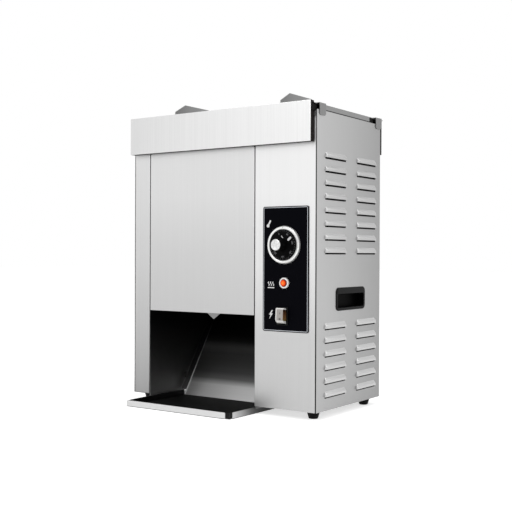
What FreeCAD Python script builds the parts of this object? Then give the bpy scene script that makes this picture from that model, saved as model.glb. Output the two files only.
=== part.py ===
import FreeCAD, Part
import math
import os

import Sketcher
from FreeCAD import Placement, Rotation, Vector

# Vertical bun toaster: a sheet steel casing with a lift-off feeder hood, a heated
# platen between two belts, a discharge chute over a slide-out tray, and a control
# column on the right. Millimetres. X runs left to right, Y from front to back, Z up.
#
# Every piece is drawn in the casing's own frame: X from the casing's middle, Y from
# its front face, Z from its underside. One shift then puts all of them on the origin,
# which is the middle of the whole machine's footprint on the table.

# Driving sizes, each written once.
SIZES = {
    # casing
    "casing_width": 450.0,
    "casing_depth": 253.5,
    "casing_height": 560.0,
    "sheet": 1.2,
    "fit_gap": 0.3,
    "air_gap": 0.1,
    "seat": 0.05,
    "foot_height": 15.0,
    "foot_radius": 13.0,
    "foot_sole": 9.0,
    "foot_inset_side": 22.5,
    "foot_inset_end": 27.5,
    "edge_reveal": 2.4,
    "edge_bend": 2.2,
    "edge_fold": 2.4,
    "front_bend": 1.6,
    "seam": 1.9,
    "post_width": 40.2,
    "control_width": 136.4,
    "outer_return": 6.0,
    "inner_return": 20.0,
    "pan_wall": 14.0,
    "rear_sill": 16.0,
    "wall_hem": 5.5,
    "wall_setback": 2.0,
    "wall_flange": 15.0,
    "top_inset": 2.8,
    "top_skirt": 10.0,
    "top_opening_front": 50.0,
    # front cover
    "cover_bottom": 175.0,
    "cover_top": 529.2,
    "cover_return": 15.0,
    "cover_notch": 30.0,
    "cover_fold_inset": 2.0,
    "crossbar_height": 15.7,
    "crossbar_depth": 12.0,
    "crossbar_front": 5.0,
    # discharge chute and the guard above it
    "chute_slope": 56.6,
    "chute_foot": 103.5,
    "chute_drop": 13.7,
    "chute_sheet": 1.0,
    "chute_top": 236.0,
    "chute_flange": 18.6,
    "chute_gap": 8.3,
    "chute_lip_drop": 0.4,
    "chute_lip_rise": 2.0,
    "bracket_size": 10.0,
    "guard_inset": 44.0,
    "guard_fold": 10.0,
    "guard_bottom": 171.5,
    "guard_top": 500.0,
    "tongue_half": 17.0,
    "tongue_drop": 12.2,
    # tray
    "tray_width": 257.5,
    "tray_centre": -43.2,
    "tray_reach": 79.5,
    "tray_depth": 190.0,
    "tray_sheet": 1.0,
    "tray_rim": 12.3,
    "tray_notch": 10.0,
    "tray_corner": 2.0,
    "liner_sheet": 0.5,
    "liner_rim": 11.0,
    "liner_back": 101.0,
    "rim_depth": 167.5,
    # louvres and handles
    "louvre_length": 81.0,
    "louvre_height": 10.4,
    "louvre_rise": 3.6,
    "louvre_crest": 4.2,
    "louvre_slit": 1.8,
    "louvre_pitch": 25.5,
    "louvre_front": 69.0,
    "louvre_columns": 123.0,
    "louvre_skin": 1.4,
    "upper_row": 295.7,
    "lower_row": 26.2,
    "handle_length": 115.0,
    "handle_height": 44.5,
    "handle_lip": 3.0,
    "handle_corner": 6.0,
    "handle_depth": 18.0,
    "handle_wall": 2.0,
    "handle_centre": 128.5,
    "handle_level": 207.0,
    "handle_rim": 1.5,
    "handle_face": 1.6,
    "handle_hood": 12.0,
    # hood
    "band_reach": 14.1,
    "rear_band_reach": 17.5,
    "band_bottom": 500.4,
    "band_top": 575.9,
    "band_left_inset": 0.7,
    "band_right_inset": 6.2,
    "band_hem": 7.0,
    "band_bend": 1.8,
    "deck_top": 572.0,
    "rail_inset": 3.0,
    "rail_bottom": 561.0,
    "rail_front": 29.0,
    "rail_rear": 210.0,
    "hook_width": 22.0,
    "hook_front": 7.0,
    "hook_rear": 230.8,
    "hook_bottom": 550.5,
    "hook_strap": 1.5,
    "hook_arm": 26.0,
    "hook_corner": 3.0,
    "hook_bend": 1.2,
    "buffer_length": 18.4,
    "buffer_width": 10.0,
    "buffer_front": -12.3,
    "buffer_rear": 212.2,
    "feed_slot": 32.0,
    "feed_divider": 20.0,
    "slot_lip": 6.0,
    "slot_end": 3.0,
    "cheek_left": -190.0,
    "cheek_right": 84.0,
    "cheek_sheet": 1.5,
    "cheek_front": 90.0,
    "cheek_rear": 214.0,
    "cheek_top": 621.0,
    "cheek_slope_depth": 34.0,
    "cheek_slope_drop": 19.0,
    "cheek_foot": 12.0,
    "cheek_corner": 4.0,
    # platen and belts
    "platen_middle": 152.0,
    "platen_thick": 22.0,
    "platen_bottom": 205.0,
    "platen_top": 535.0,
    "platen_gap": 15.5,
    "platen_round": 9.0,
    "platen_foot_bevel": 2.0,
    "element_height": 14.0,
    "element_thick": 5.0,
    "element_pitch": 105.0,
    "element_left": 5.0,
    "element_right": 12.0,
    "hanger_height": 30.0,
    "hanger_low": 95.0,
    "hanger_high": 125.0,
    "hanger_half": 10.0,
    "hanger_sheet": 2.0,
    "film_thick": 0.4,
    "film_hem": 25.0,
    "belt_gap": 28.0,
    "belt_thick": 2.7,
    "belt_margin": 18.0,
    "roller_over": 2.0,
    "roller_radius": 18.0,
    "roller_upper": 515.0,
    "roller_lower": 245.0,
    "shaft_radius": 5.0,
    "shaft_over": 6.0,
    "idler_slot_half": 12.0,
    "running_clear": 0.05,
    "bush_half": 8.0,
    "bush_flange": 11.0,
    "bush_face": 1.6,
    "bush_depth": 4.2,
    # gears and motor
    "gear_face": 8.0,
    "gear_slack": 0.12,
    "gear_stand_off": 3.1,
    "stud_radius": 4.0,
    "motor_stand_off": 5.0,
    "gearbox_size": 62.0,
    "gearbox_depth": 38.0,
    "gearbox_bore": 10.0,
    "core_depth": 28.0,
    "core_half": 29.0,
    "core_bevel": 5.0,
    "coil_reach": 12.0,
    "coil_half": 17.0,
    "motor_bracket_sheet": 2.0,
    "motor_bracket_foot": 14.0,
    "motor_bracket_hole": 8.0,
    # control column
    "plate_width": 102.0,
    "plate_height": 236.5,
    "plate_centre": 157.4,
    "plate_level": 264.7,
    "plate_thick": 1.0,
    "plate_rim": 2.6,
    "plate_rim_rise": 0.8,
    "plate_corner": 3.5,
    "knob_level": 310.1,
    "knob_centre": 154.9,
    "knob_hole": 5.0,
    "bezel_radius": 36.2,
    "bezel_thick": 4.2,
    "dial_radius": 27.0,
    "dial_thick": 2.3,
    "grip_radius": 12.0,
    "grip_length": 23.4,
    "cap_radius": 10.4,
    "cap_thick": 1.0,
    "spindle_radius": 3.0,
    "spindle_bevel": 1.7,
    "spindle_end": 13.0,
    "spindle_bore": 10.0,
    "thermostat_size": 38.0,
    "thermostat_depth": 26.0,
    "lamp_centre": 156.2,
    "lamp_level": 238.6,
    "lamp_radius": 10.0,
    "lamp_rim": 4.6,
    "lens_radius": 7.2,
    "lens_rise": 8.0,
    "lamp_stem_length": 14.0,
    "lamp_stem_half": 5.5,
    "lamp_stem_bevel": 3.0,
    "switch_centre": 152.0,
    "switch_level": 176.0,
    "switch_width": 25.0,
    "switch_height": 34.0,
    "switch_face": 2.4,
    "switch_step": 1.3,
    "switch_body_depth": 24.0,
    "switch_well_depth": 14.0,
    "rocker_width": 16.5,
    "rocker_height": 28.0,
    "rocker_crest": 15.5,
    "rocker_valley": 14.6,
    "rocker_corner": 4.0,
    "rocker_back": 7.0,
    "rocker_back_half": 6.0,
    "rocker_play": 1.1,
    "rocker_side_play": 0.35,
    "rocker_pin": 1.6,
    "rocker_pin_over": 0.25,
    "rocker_pivot": 1.0,
    "rocker_tilt": 9.0,
    # back
    "gland_half": 9.0,
    "gland_bevel": 3.0,
    "gland_flange": 3.5,
    "cord_half_width": 5.0,
    "cord_half_height": 3.5,
    "cord_corner": 2.0,
    "gland_reach": 14.0,
    "gland_inside": 9.0,
    "gland_centre": 165.0,
    "gland_level": 62.0,
}

UPPER_ROWS = 8
LOWER_ROWS = 6
GEAR_TEETH = 12

# How far a cut runs past the faces that it opens.
OVERCUT = 1.0


class Size:
    """A length together with the sheet expression that gives it."""

    def __init__(self, value, text):
        self.value = value
        self.text = text

    def __add__(self, other):
        other = size_of(other)
        return Size(self.value + other.value, f"({self.text} + {other.text})")

    def __sub__(self, other):
        other = size_of(other)
        return Size(self.value - other.value, f"({self.text} - {other.text})")

    def __mul__(self, other):
        other = size_of(other)
        return Size(self.value * other.value, f"({self.text} * {other.text})")

    def __truediv__(self, other):
        other = size_of(other)
        return Size(self.value / other.value, f"({self.text} / {other.text})")

    def __rtruediv__(self, other):
        return size_of(other) / self

    def __neg__(self):
        return Size(-self.value, f"(-{self.text})")

    def __radd__(self, other):
        return size_of(other) + self

    def __rsub__(self, other):
        return size_of(other) - self

    def __rmul__(self, other):
        return size_of(other) * self


def size_of(value):
    return value if isinstance(value, Size) else Size(float(value), repr(float(value)))


def tangent(angle):
    """Tangent of an angle in degrees that is a plain number in the sheet."""
    return Size(math.tan(math.radians(angle.value)), f"tan({angle.text} * 1 deg)")


def number(value):
    return value.value if isinstance(value, Size) else float(value)


class Names:
    """The sheet's sizes by name."""


def fill_sheet(doc):
    sheet = doc.addObject("Spreadsheet::Sheet", "Sizes")
    names = Names()
    for row, (name, value) in enumerate(SIZES.items(), 1):
        sheet.set(f"A{row}", name)
        sheet.set(f"B{row}", str(value))
        sheet.setAlias(f"B{row}", name)
        setattr(names, name, Size(value, f"Sizes.{name}"))
    doc.recompute()
    return names


doc = FreeCAD.newDocument("bun_toaster")
s = fill_sheet(doc)

# Places that more than one piece uses, in the casing's frame.
half_width = s.casing_width / 2
post_left = s.edge_reveal - half_width
post_right = post_left + s.post_width
control_right = half_width - s.edge_reveal
control_left = control_right - s.control_width
cover_left = post_right + s.seam
cover_right = control_left - s.seam
wall_left = post_right + s.fit_gap + s.sheet
wall_right = control_left + s.sheet + s.fit_gap
wall_outside = wall_right + s.sheet
chamber_middle = (wall_left + wall_right) / 2
panel_inside = half_width - s.sheet
pan_half = panel_inside - s.fit_gap
pan_front = s.outer_return + s.fit_gap
pan_rear = s.casing_depth - s.sheet - s.fit_gap
opening_left = post_right - s.sheet - s.fit_gap
opening_right = wall_outside + s.fit_gap
opening_rear = pan_rear - s.rear_sill
top_under = s.casing_height - s.top_inset - s.sheet
panel_top = s.casing_height - s.top_inset - s.top_skirt - s.fit_gap
belt_out = s.roller_radius + s.fit_gap + s.belt_thick
belt_offset = s.platen_thick / 2 + s.belt_gap + belt_out
front_axis = s.platen_middle - belt_offset
rear_axis = s.platen_middle + belt_offset
belt_left = wall_left + s.belt_margin
belt_right = wall_right - s.belt_margin
slot_front = s.platen_middle - s.feed_divider / 2 - s.feed_slot
slot_rear = s.platen_middle + s.feed_divider / 2
platen_centre = (s.platen_bottom + s.platen_top) / 2
element_levels = [platen_centre + k * s.element_pitch for k in (-1, 0, 1)]
gear_pitch = (rear_axis - front_axis) / 6
gear_left = wall_outside + s.gear_stand_off
gear_right = gear_left + s.gear_face
gearbox_left = gear_right + s.motor_stand_off
t = s.sheet

shift_back = (s.tray_reach - s.casing_depth - s.rear_band_reach) / 2

pieces = []


# Drawing and feature helpers.
def place(piece, x=0, y=0, z=0, turn=0):
    """Move a finished piece from the casing's frame to the machine's origin. A piece
    drawn about its own middle says where that middle goes, and its turn about X."""
    spot = (size_of(x), size_of(y) + shift_back, size_of(z) + s.foot_height)
    piece.Placement = Placement(Vector(*[v.value for v in spot]), Rotation(Vector(1, 0, 0), turn))
    for axis, value in zip("xyz", spot):
        piece.setExpression(f"Placement.Base.{axis}", value.text)
    pieces.append(piece)
    return piece


def new_body(label):
    body = doc.addObject("PartDesign::Body", label)
    body.Label = label
    return body


def solid_piece(label, shape):
    """A piece whose shape comes from Part's own functions, in the casing's frame."""
    piece = doc.addObject("Part::Feature", label)
    piece.Label = label
    piece.Shape = shape
    return place(piece)


def new_sketch(body, plane, at):
    """A sketch on one of the body's origin planes, moved along that plane's axis."""
    support = [f for f in body.Origin.OriginFeatures if f.Role == f"{plane}_Plane"][0]
    sketch = body.newObject("Sketcher::SketchObject", f"{body.Label}_outline")
    sketch.AttachmentSupport = [(support, "")]
    sketch.MapMode = "FlatFace"
    offset = -size_of(at) if plane == "XZ" else size_of(at)
    sketch.AttachmentOffset = Placement(Vector(0, 0, offset.value), Rotation())
    sketch.setExpression("AttachmentOffset.Base.z", offset.text)
    return sketch


def pin_point(sketch, geometry, end, x, y):
    """Hold one end of a line at a place given by two sizes."""
    for kind, value in (("DistanceX", size_of(x)), ("DistanceY", size_of(y))):
        index = sketch.addConstraint(Sketcher.Constraint(kind, -1, 1, geometry, end, value.value))
        sketch.setExpression(f"Constraints[{index}]", value.text)


def sign(value):
    return (value > 0) - (value < 0)


def draw_outline(sketch, corners):
    """A closed outline. A corner is (x, y), or (x, y, radius) where two level or
    upright sides meet in an arc."""
    count = len(corners)
    spots = [(number(c[0]), number(c[1])) for c in corners]
    starts, ends, arcs = [], [], []
    for i, corner in enumerate(corners):
        radius = size_of(corner[2]) if len(corner) > 2 else None
        x, y = size_of(corner[0]), size_of(corner[1])
        if radius is None:
            ends.append((x, y))
            starts.append((x, y))
            arcs.append(None)
            continue
        before, after = spots[i - 1], spots[(i + 1) % count]
        in_x, in_y = sign(before[0] - x.value), sign(before[1] - y.value)
        out_x, out_y = sign(after[0] - x.value), sign(after[1] - y.value)
        ends.append((x + in_x * radius, y + in_y * radius))
        starts.append((x + out_x * radius, y + out_y * radius))
        centre = Vector(x.value + (in_x + out_x) * radius.value, y.value + (in_y + out_y) * radius.value, 0)
        turn = in_x * out_y - in_y * out_x
        arcs.append((centre, radius, turn))
    lines = []
    for i in range(count):
        a, b = starts[i], ends[(i + 1) % count]
        line = Part.LineSegment(Vector(a[0].value, a[1].value, 0), Vector(b[0].value, b[1].value, 0))
        lines.append(sketch.addGeometry(line, False))
        pin_point(sketch, lines[-1], 1, *a)
        if arcs[(i + 1) % count]:
            pin_point(sketch, lines[-1], 2, *b)
    for i in range(count):
        before, after = lines[i - 1], lines[i]
        if arcs[i] is None:
            sketch.addConstraint(Sketcher.Constraint("Coincident", before, 2, after, 1))
            continue
        centre, radius, turn = arcs[i]
        first = Vector(ends[i][0].value, ends[i][1].value, 0) - centre
        last = Vector(starts[i][0].value, starts[i][1].value, 0) - centre
        if turn > 0:
            first, last = last, first
        circle = Part.Circle(centre, Vector(0, 0, 1), radius.value)
        arc = Part.ArcOfCircle(circle, math.atan2(first.y, first.x), math.atan2(last.y, last.x))
        index = sketch.addGeometry(arc, False)
        head, tail = (2, 1) if turn > 0 else (1, 2)
        sketch.addConstraint(Sketcher.Constraint("Coincident", before, 2, index, head))
        sketch.addConstraint(Sketcher.Constraint("Coincident", index, tail, after, 1))
        rule = sketch.addConstraint(Sketcher.Constraint("Radius", index, radius.value))
        sketch.setExpression(f"Constraints[{rule}]", radius.text)


def draw_circle(sketch, x, y, radius):
    x, y, radius = size_of(x), size_of(y), size_of(radius)
    index = sketch.addGeometry(Part.Circle(Vector(x.value, y.value, 0), Vector(0, 0, 1), radius.value), False)
    pin_point(sketch, index, 3, x, y)
    rule = sketch.addConstraint(Sketcher.Constraint("Radius", index, radius.value))
    sketch.setExpression(f"Constraints[{rule}]", radius.text)


def box_corners(x0, x1, y0, y1, radius=None):
    corners = [(x0, y0), (x1, y0), (x1, y1), (x0, y1)]
    return corners if radius is None else [(x, y, radius) for x, y in corners]


def draw(sketch, shapes):
    for shape in shapes:
        if isinstance(shape, list):
            draw_outline(sketch, shape)
        else:
            draw_circle(sketch, *shape)


def add_slab(body, plane, start, end, *shapes):
    """Pad outlines from one place to another along the plane's axis."""
    sketch = new_sketch(body, plane, start)
    draw(sketch, shapes)
    pad = body.newObject("PartDesign::Pad", f"{body.Label}_pad")
    pad.Profile = sketch
    length = size_of(end) - size_of(start)
    pad.Length = length.value
    pad.setExpression("Length", length.text)
    pad.Reversed = plane == "XZ"
    doc.recompute()
    return pad


def cut_slab(body, plane, start, end, *shapes):
    """Cut outlines from one place to another along the plane's axis."""
    before = body.Shape.Volume
    sketch = new_sketch(body, plane, start)
    draw(sketch, shapes)
    pocket = body.newObject("PartDesign::Pocket", f"{body.Label}_pocket")
    pocket.Profile = sketch
    length = size_of(end) - size_of(start)
    pocket.Length = length.value
    pocket.setExpression("Length", length.text)
    pocket.Reversed = plane != "XZ"
    doc.recompute()
    if body.Shape.Volume > before - 0.01:
        raise RuntimeError(f"{pocket.Label} cuts nothing")
    return pocket


def block(x0, x1, y0, y1, z0, z1):
    low = Vector(number(x0), number(y0), number(z0))
    high = Vector(number(x1), number(y1), number(z1))
    return Part.makeBox(high.x - low.x, high.y - low.y, high.z - low.z, low)


def spread(side, a, b):
    """Two X places in rising order, on the right (1) or mirrored to the left (-1)."""
    return (size_of(a), size_of(b)) if side > 0 else (-size_of(b), -size_of(a))


def bevelled_box(x0, x1, y0, y1, bevel):
    """A rectangle with its four corners cut off."""
    return [(x0 + bevel, y0), (x1 - bevel, y0), (x1, y0 + bevel), (x1, y1 - bevel),
            (x1 - bevel, y1), (x0 + bevel, y1), (x0, y1 - bevel), (x0, y0 + bevel)]


def repeat(body, kind, label, feature, axis):
    """A pattern of one pad or pocket along or about an axis of its own sketch."""
    pattern = body.newObject(f"PartDesign::{kind}", f"{body.Label}_{label}")
    pattern.Originals = [feature]
    axis_name = "Direction" if kind == "LinearPattern" else "Axis"
    setattr(pattern, axis_name, (feature.Profile[0], [axis]))
    body.Tip = pattern
    return pattern


RIGHT = Vector(1, 0, 0)


# Casing: side panels. Each is a sheet with its front and rear edges rolled inward, two
# columns of louvres pressed outward and a window for the handle.
def across(side, corners):
    """An outline seen along Y, on the right (1) or mirrored to the left (-1)."""
    return [(x * side, z) for x, z in corners]


def press_louvres(body, side, level, rows):
    """Push out one louvre, open it below, and repeat it over columns and rows."""
    skin = s.louvre_skin
    crest_x = half_width + s.louvre_rise
    top = level + s.louvre_height
    crest = level + s.louvre_crest
    y0 = s.louvre_front - s.louvre_length / 2
    y1 = y0 + s.louvre_length
    hood = add_slab(body, "XZ", y0, y1, across(side, [
        (half_width - s.fit_gap, level), (crest_x, level), (crest_x, crest), (half_width - s.fit_gap, top)]))
    hollow = cut_slab(body, "XZ", y0 + skin, y1 - skin, across(side, [
        (panel_inside - OVERCUT, level - s.louvre_slit), (crest_x + OVERCUT, level - s.louvre_slit),
        (crest_x + OVERCUT, level), (crest_x - s.sheet, level), (crest_x - s.sheet, crest - skin / 2),
        (panel_inside, top - skin), (panel_inside - OVERCUT, top - skin)]))
    multi = body.newObject("PartDesign::MultiTransform", f"{body.Label}_rows")
    multi.Originals = [hood, hollow]
    for step in (hood, hollow, multi):
        step.Refine = False
    steps = []
    for axis, span, count in (("N_Axis", s.louvre_columns, 2), ("V_Axis", s.louvre_pitch * (rows - 1), rows)):
        step = body.newObject("PartDesign::LinearPattern", f"{body.Label}_{axis[0]}_steps")
        step.Direction = (hollow.Profile[0], [axis])
        step.Reversed = axis == "N_Axis"
        step.Length = span.value
        step.setExpression("Length", span.text)
        step.Occurrences = count
        steps.append(step)
    multi.Transformations = steps
    body.Tip = multi
    doc.recompute()


def make_side_panel(label, side):
    body = new_body(label)
    outside = half_width * side
    inside = panel_inside * side
    tip = (half_width - s.edge_fold) * side
    add_slab(body, "XY", 0, s.casing_height, [
        (tip, 0), (outside, 0, s.edge_bend), (outside, s.casing_depth, s.edge_bend), (tip, s.casing_depth),
        (tip, s.casing_depth - t), (inside, s.casing_depth - t), (inside, t), (tip, t)])
    y0 = s.handle_centre - s.handle_length / 2 + s.handle_lip
    z0 = s.handle_level - s.handle_height / 2 + s.handle_lip
    cut_slab(body, "YZ", *spread(side, panel_inside - OVERCUT, half_width + OVERCUT), box_corners(
        y0, y0 + s.handle_length - s.handle_lip * 2, z0, z0 + s.handle_height - s.handle_lip * 2))
    press_louvres(body, side, s.upper_row, UPPER_ROWS)
    press_louvres(body, side, s.lower_row, LOWER_ROWS)
    return place(body)


make_side_panel("right_side_panel", 1)
make_side_panel("left_side_panel", -1)


# Casing: finger cups let into the side panels, open below a hood.
def make_handle(label, side):
    body = new_body(label)
    y0 = s.handle_centre - s.handle_length / 2
    y1 = y0 + s.handle_length
    z0 = s.handle_level - s.handle_height / 2
    z1 = z0 + s.handle_height
    edge = s.handle_lip + s.fit_gap
    wall = edge + s.handle_wall
    cup_back = half_width - s.handle_depth
    add_slab(body, "YZ", *spread(side, half_width + s.seat, half_width + s.handle_rim),
             bevelled_box(y0, y1, z0, z1, s.handle_corner))
    add_slab(body, "YZ", *spread(side, cup_back, half_width + s.handle_rim / 2),
             box_corners(y0 + edge, y1 - edge, z0 + edge, z1 - edge))
    cut_slab(body, "YZ", *spread(side, cup_back + s.handle_wall, half_width - s.handle_face / 2),
             box_corners(y0 + wall, y1 - wall, z0 + wall, z1 - wall))
    cut_slab(body, "YZ", *spread(side, half_width - s.handle_face, half_width + s.handle_rim + OVERCUT),
             bevelled_box(y0 + wall, y1 - wall, z0 + wall, z1 - s.handle_hood, s.handle_wall))
    return place(body)


make_handle("right_handle_pocket", 1)
make_handle("left_handle_pocket", -1)

# Casing: base pan, a shallow tray with a mouth cut into its front for the chute.
base_pan = new_body("base_pan")
add_slab(base_pan, "XY", 0, s.pan_wall, [
    (-pan_half, pan_front), (opening_left, pan_front), (opening_left, opening_rear),
    (opening_right, opening_rear), (opening_right, pan_front), (pan_half, pan_front),
    (pan_half, pan_rear), (-pan_half, pan_rear)])
cut_slab(base_pan, "XY", t, s.pan_wall + OVERCUT, [
    (-pan_half + t, pan_front + t), (opening_left - t, pan_front + t), (opening_left - t, opening_rear + t),
    (opening_right + t, opening_rear + t), (opening_right + t, pan_front + t), (pan_half - t, pan_front + t),
    (pan_half - t, pan_rear - t), (-pan_half + t, pan_rear - t)])
place(base_pan)

foot_x = half_width - s.foot_inset_side
foot_places = [(side * foot_x, y) for side in (-1, 1)
               for y in (s.foot_inset_end, s.casing_depth - s.foot_inset_end)]
FOOT_SIDES = 8


def foot_ring(x, y, radius, z):
    """The corners of an eight-sided ring, with flats towards the sides and ends."""
    angles = [2 * math.pi * (k + 0.5) / FOOT_SIDES for k in range(FOOT_SIDES)]
    return [Vector(x.value + radius.value * math.cos(a), y.value + radius.value * math.sin(a), z.value)
            for a in angles]


feet = []
for x, y in foot_places:
    sole = foot_ring(x, y, s.foot_sole, -s.foot_height)
    crown = foot_ring(x, y, s.foot_radius, -s.air_gap)
    faces = [sole, crown]
    faces += [[sole[k - 1], sole[k], crown[k], crown[k - 1]] for k in range(FOOT_SIDES)]
    shell = Part.makeShell([Part.Face(Part.makePolygon(f + f[:1])) for f in faces])
    feet.append(Part.makeSolid(shell))
solid_piece("feet", Part.makeCompound(feet))


# Casing: front panels folded back at both sides.
def make_front_panel(label, left, right, left_return, right_return):
    body = new_body(label)
    add_slab(body, "XY", 0, panel_top, [
        (left, left_return), (left, 0, s.front_bend), (right, 0, s.front_bend), (right, right_return),
        (right - t, right_return), (right - t, t), (left + t, t), (left + t, left_return)])
    return body


place(make_front_panel("left_post", post_left, post_right, s.outer_return, s.inner_return))

control_panel = make_front_panel("control_panel", control_left, control_right, s.inner_return, s.outer_return)
switch_x0 = s.switch_centre - s.switch_width / 2
switch_x1 = switch_x0 + s.switch_width
switch_z0 = s.switch_level - s.switch_height / 2
switch_z1 = switch_z0 + s.switch_height
switch_edge = s.switch_step - s.fit_gap
switch_cut = box_corners(switch_x0 + switch_edge, switch_x1 - switch_edge,
                         switch_z0 + switch_edge, switch_z1 - switch_edge)
knob_cut = box_corners(s.knob_centre - s.knob_hole, s.knob_centre + s.knob_hole,
                       s.knob_level - s.knob_hole, s.knob_level + s.knob_hole)


def bevelled_square(x, z, half, bevel):
    """A square about a point with its corners cut off."""
    return bevelled_box(x - half, x + half, z - half, z + half, bevel)


lamp_cut = bevelled_square(s.lamp_centre, s.lamp_level, s.lamp_stem_half + s.fit_gap, s.lamp_stem_bevel)
cut_slab(control_panel, "XZ", -OVERCUT, t + OVERCUT, knob_cut, lamp_cut, switch_cut)
place(control_panel)

rear_panel = new_body("rear_panel")
rear_half = control_right - s.fit_gap
rear_front = s.casing_depth - t
add_slab(rear_panel, "XZ", rear_front, s.casing_depth, box_corners(-rear_half, rear_half, 0, panel_top))
cut_slab(rear_panel, "XZ", rear_front - OVERCUT, s.casing_depth + OVERCUT,
         bevelled_square(s.gland_centre, s.gland_level, s.gland_half + s.fit_gap, s.gland_bevel))
place(rear_panel)

# Casing: top plate with a skirt all round and the opening the buns drop through.
top_plate = new_body("top_plate")
top_face = s.casing_height - s.top_inset
add_slab(top_plate, "XY", top_face - s.top_skirt, top_face,
         box_corners(-rear_half, rear_half, 0, s.casing_depth))
cut_slab(top_plate, "XY", top_face - s.top_skirt - OVERCUT, top_face - t,
         box_corners(-rear_half + t, rear_half - t, t, s.casing_depth - t))
cut_slab(top_plate, "XY", top_face - t - OVERCUT, top_face + OVERCUT,
         box_corners(wall_left, wall_right, s.top_opening_front, opening_rear))
place(top_plate)


# Casing: inner walls either side of the toasting chamber, with a flange at the back.
# Their lower edge hangs into the pan's mouth, beside the tray. The upper rollers run in
# square bushes, the lower ones in upright slots that let the belts be tightened.
def make_inner_wall(label, side):
    body = new_body(label)
    wall_rear = opening_rear - s.fit_gap * 2
    if side < 0:
        x0, x1 = wall_left - t, wall_left
        f0, f1 = wall_left - s.wall_flange, wall_left - t / 2
    else:
        x0, x1 = wall_right, wall_outside
        f0, f1 = wall_right + t / 2, wall_right + s.wall_flange
    clear = s.pan_wall + OVERCUT
    top = top_under - s.fit_gap
    add_slab(body, "YZ", x0, x1, [
        (s.wall_setback, -s.wall_hem), (wall_rear, -s.wall_hem), (wall_rear, clear), (pan_rear, clear),
        (pan_rear, top), (s.wall_setback, top)])
    add_slab(body, "YZ", f0, f1, box_corners(pan_rear - t, pan_rear, clear, top))
    reach = s.bush_half + s.running_clear
    slot_half = s.shaft_radius + s.running_clear
    holes = []
    for y in (front_axis, rear_axis):
        holes.append(box_corners(y - reach, y + reach, s.roller_upper - reach, s.roller_upper + reach))
        holes.append(box_corners(y - slot_half, y + slot_half, s.roller_lower - s.idler_slot_half,
                                 s.roller_lower + s.idler_slot_half))
    if side > 0:
        tall = s.element_height / 2 + s.fit_gap
        wide = s.element_thick / 2 + s.fit_gap
        holes += [box_corners(s.platen_middle - wide, s.platen_middle + wide, z - tall, z + tall)
                  for z in element_levels]
    cut_slab(body, "YZ", x0 - OVERCUT, x1 + OVERCUT, *holes)
    return place(body)


make_inner_wall("left_inner_wall", -1)
make_inner_wall("right_inner_wall", 1)

# Casing: bar across the front that the cover hangs on, and the guard behind the cover.
crossbar = new_body("front_crossbar")
bar_top = s.cover_top - t - s.fit_gap
bar_low = bar_top - s.crossbar_height
bar_left = wall_left + s.fit_gap
bar_right = control_left - s.fit_gap
bar_front = s.crossbar_front
bar_back = bar_front + s.crossbar_depth
add_slab(crossbar, "YZ", bar_left, bar_right, box_corners(bar_front, bar_back, bar_low, bar_top),
         box_corners(bar_front + t, bar_back - t, bar_low + t, bar_top - t))
place(crossbar)

guard = new_body("front_guard")
guard_back = s.guard_inset + s.guard_fold
guard_skin = s.guard_inset + t
guard_right = wall_right - s.fit_gap
add_slab(guard, "XY", s.guard_bottom, s.guard_top, [
    (bar_left, guard_back), (bar_left, s.guard_inset), (guard_right, s.guard_inset), (guard_right, guard_back),
    (guard_right - t, guard_back), (guard_right - t, guard_skin), (bar_left + t, guard_skin),
    (bar_left + t, guard_back)])
tongue_top = s.guard_bottom + OVERCUT
add_slab(guard, "XZ", s.guard_inset, guard_skin, [
    (chamber_middle - s.tongue_half, tongue_top), (chamber_middle - s.tongue_half, s.guard_bottom),
    (chamber_middle, s.guard_bottom - s.tongue_drop), (chamber_middle + s.tongue_half, s.guard_bottom),
    (chamber_middle + s.tongue_half, tongue_top)])
place(guard)

# Casing: chute, a sloping plate with a flange up each side, that turns the buns forward.
chute = new_body("chute")
climb = tangent(s.chute_slope)
chute_left = wall_left + s.chute_gap
chute_right = wall_right - s.chute_gap
chute_low = -s.chute_drop
chute_high = chute_low + (s.chute_top - s.chute_foot) * climb
steep = Size(1 / math.cos(math.radians(s.chute_slope.value)), f"(1 / cos({s.chute_slope.text} * 1 deg))")
skin_drop = s.chute_sheet * steep
skin_reach = skin_drop / climb
lip_level = -s.chute_lip_drop
lip_foot = s.chute_foot + (lip_level - chute_low) / climb
lip_top = chute_high + s.chute_lip_rise
add_slab(chute, "YZ", chute_left, chute_right, [
    (s.chute_foot, chute_low), (s.chute_foot + skin_reach, chute_low), (s.chute_top, chute_high - skin_drop),
    (s.chute_top, chute_high)])
for x0, x1 in ((chute_left, chute_left + s.chute_sheet), (chute_right - s.chute_sheet, chute_right)):
    add_slab(chute, "YZ", x0, x1, [
        (lip_foot - s.chute_flange, lip_level), (lip_foot + skin_reach / 2, lip_level),
        (s.chute_top, chute_high - skin_drop / 2), (s.chute_top, lip_top),
        (s.chute_top - s.chute_flange + s.chute_lip_rise / climb, lip_top)])
place(chute)

brackets = []
for share in (0.2, 0.85):
    z = chute_low + (chute_high - chute_low) * share
    y = s.chute_foot + (s.chute_top - s.chute_foot) * share - s.chute_flange / 2
    half = s.bracket_size / 2
    for x0, x1 in ((wall_left, chute_left), (chute_right, wall_right)):
        brackets.append(block(x0 + s.air_gap, x1 - s.air_gap, y - half, y + half, z - half, z + half))
solid_piece("chute_brackets", Part.makeCompound(brackets))

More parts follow.
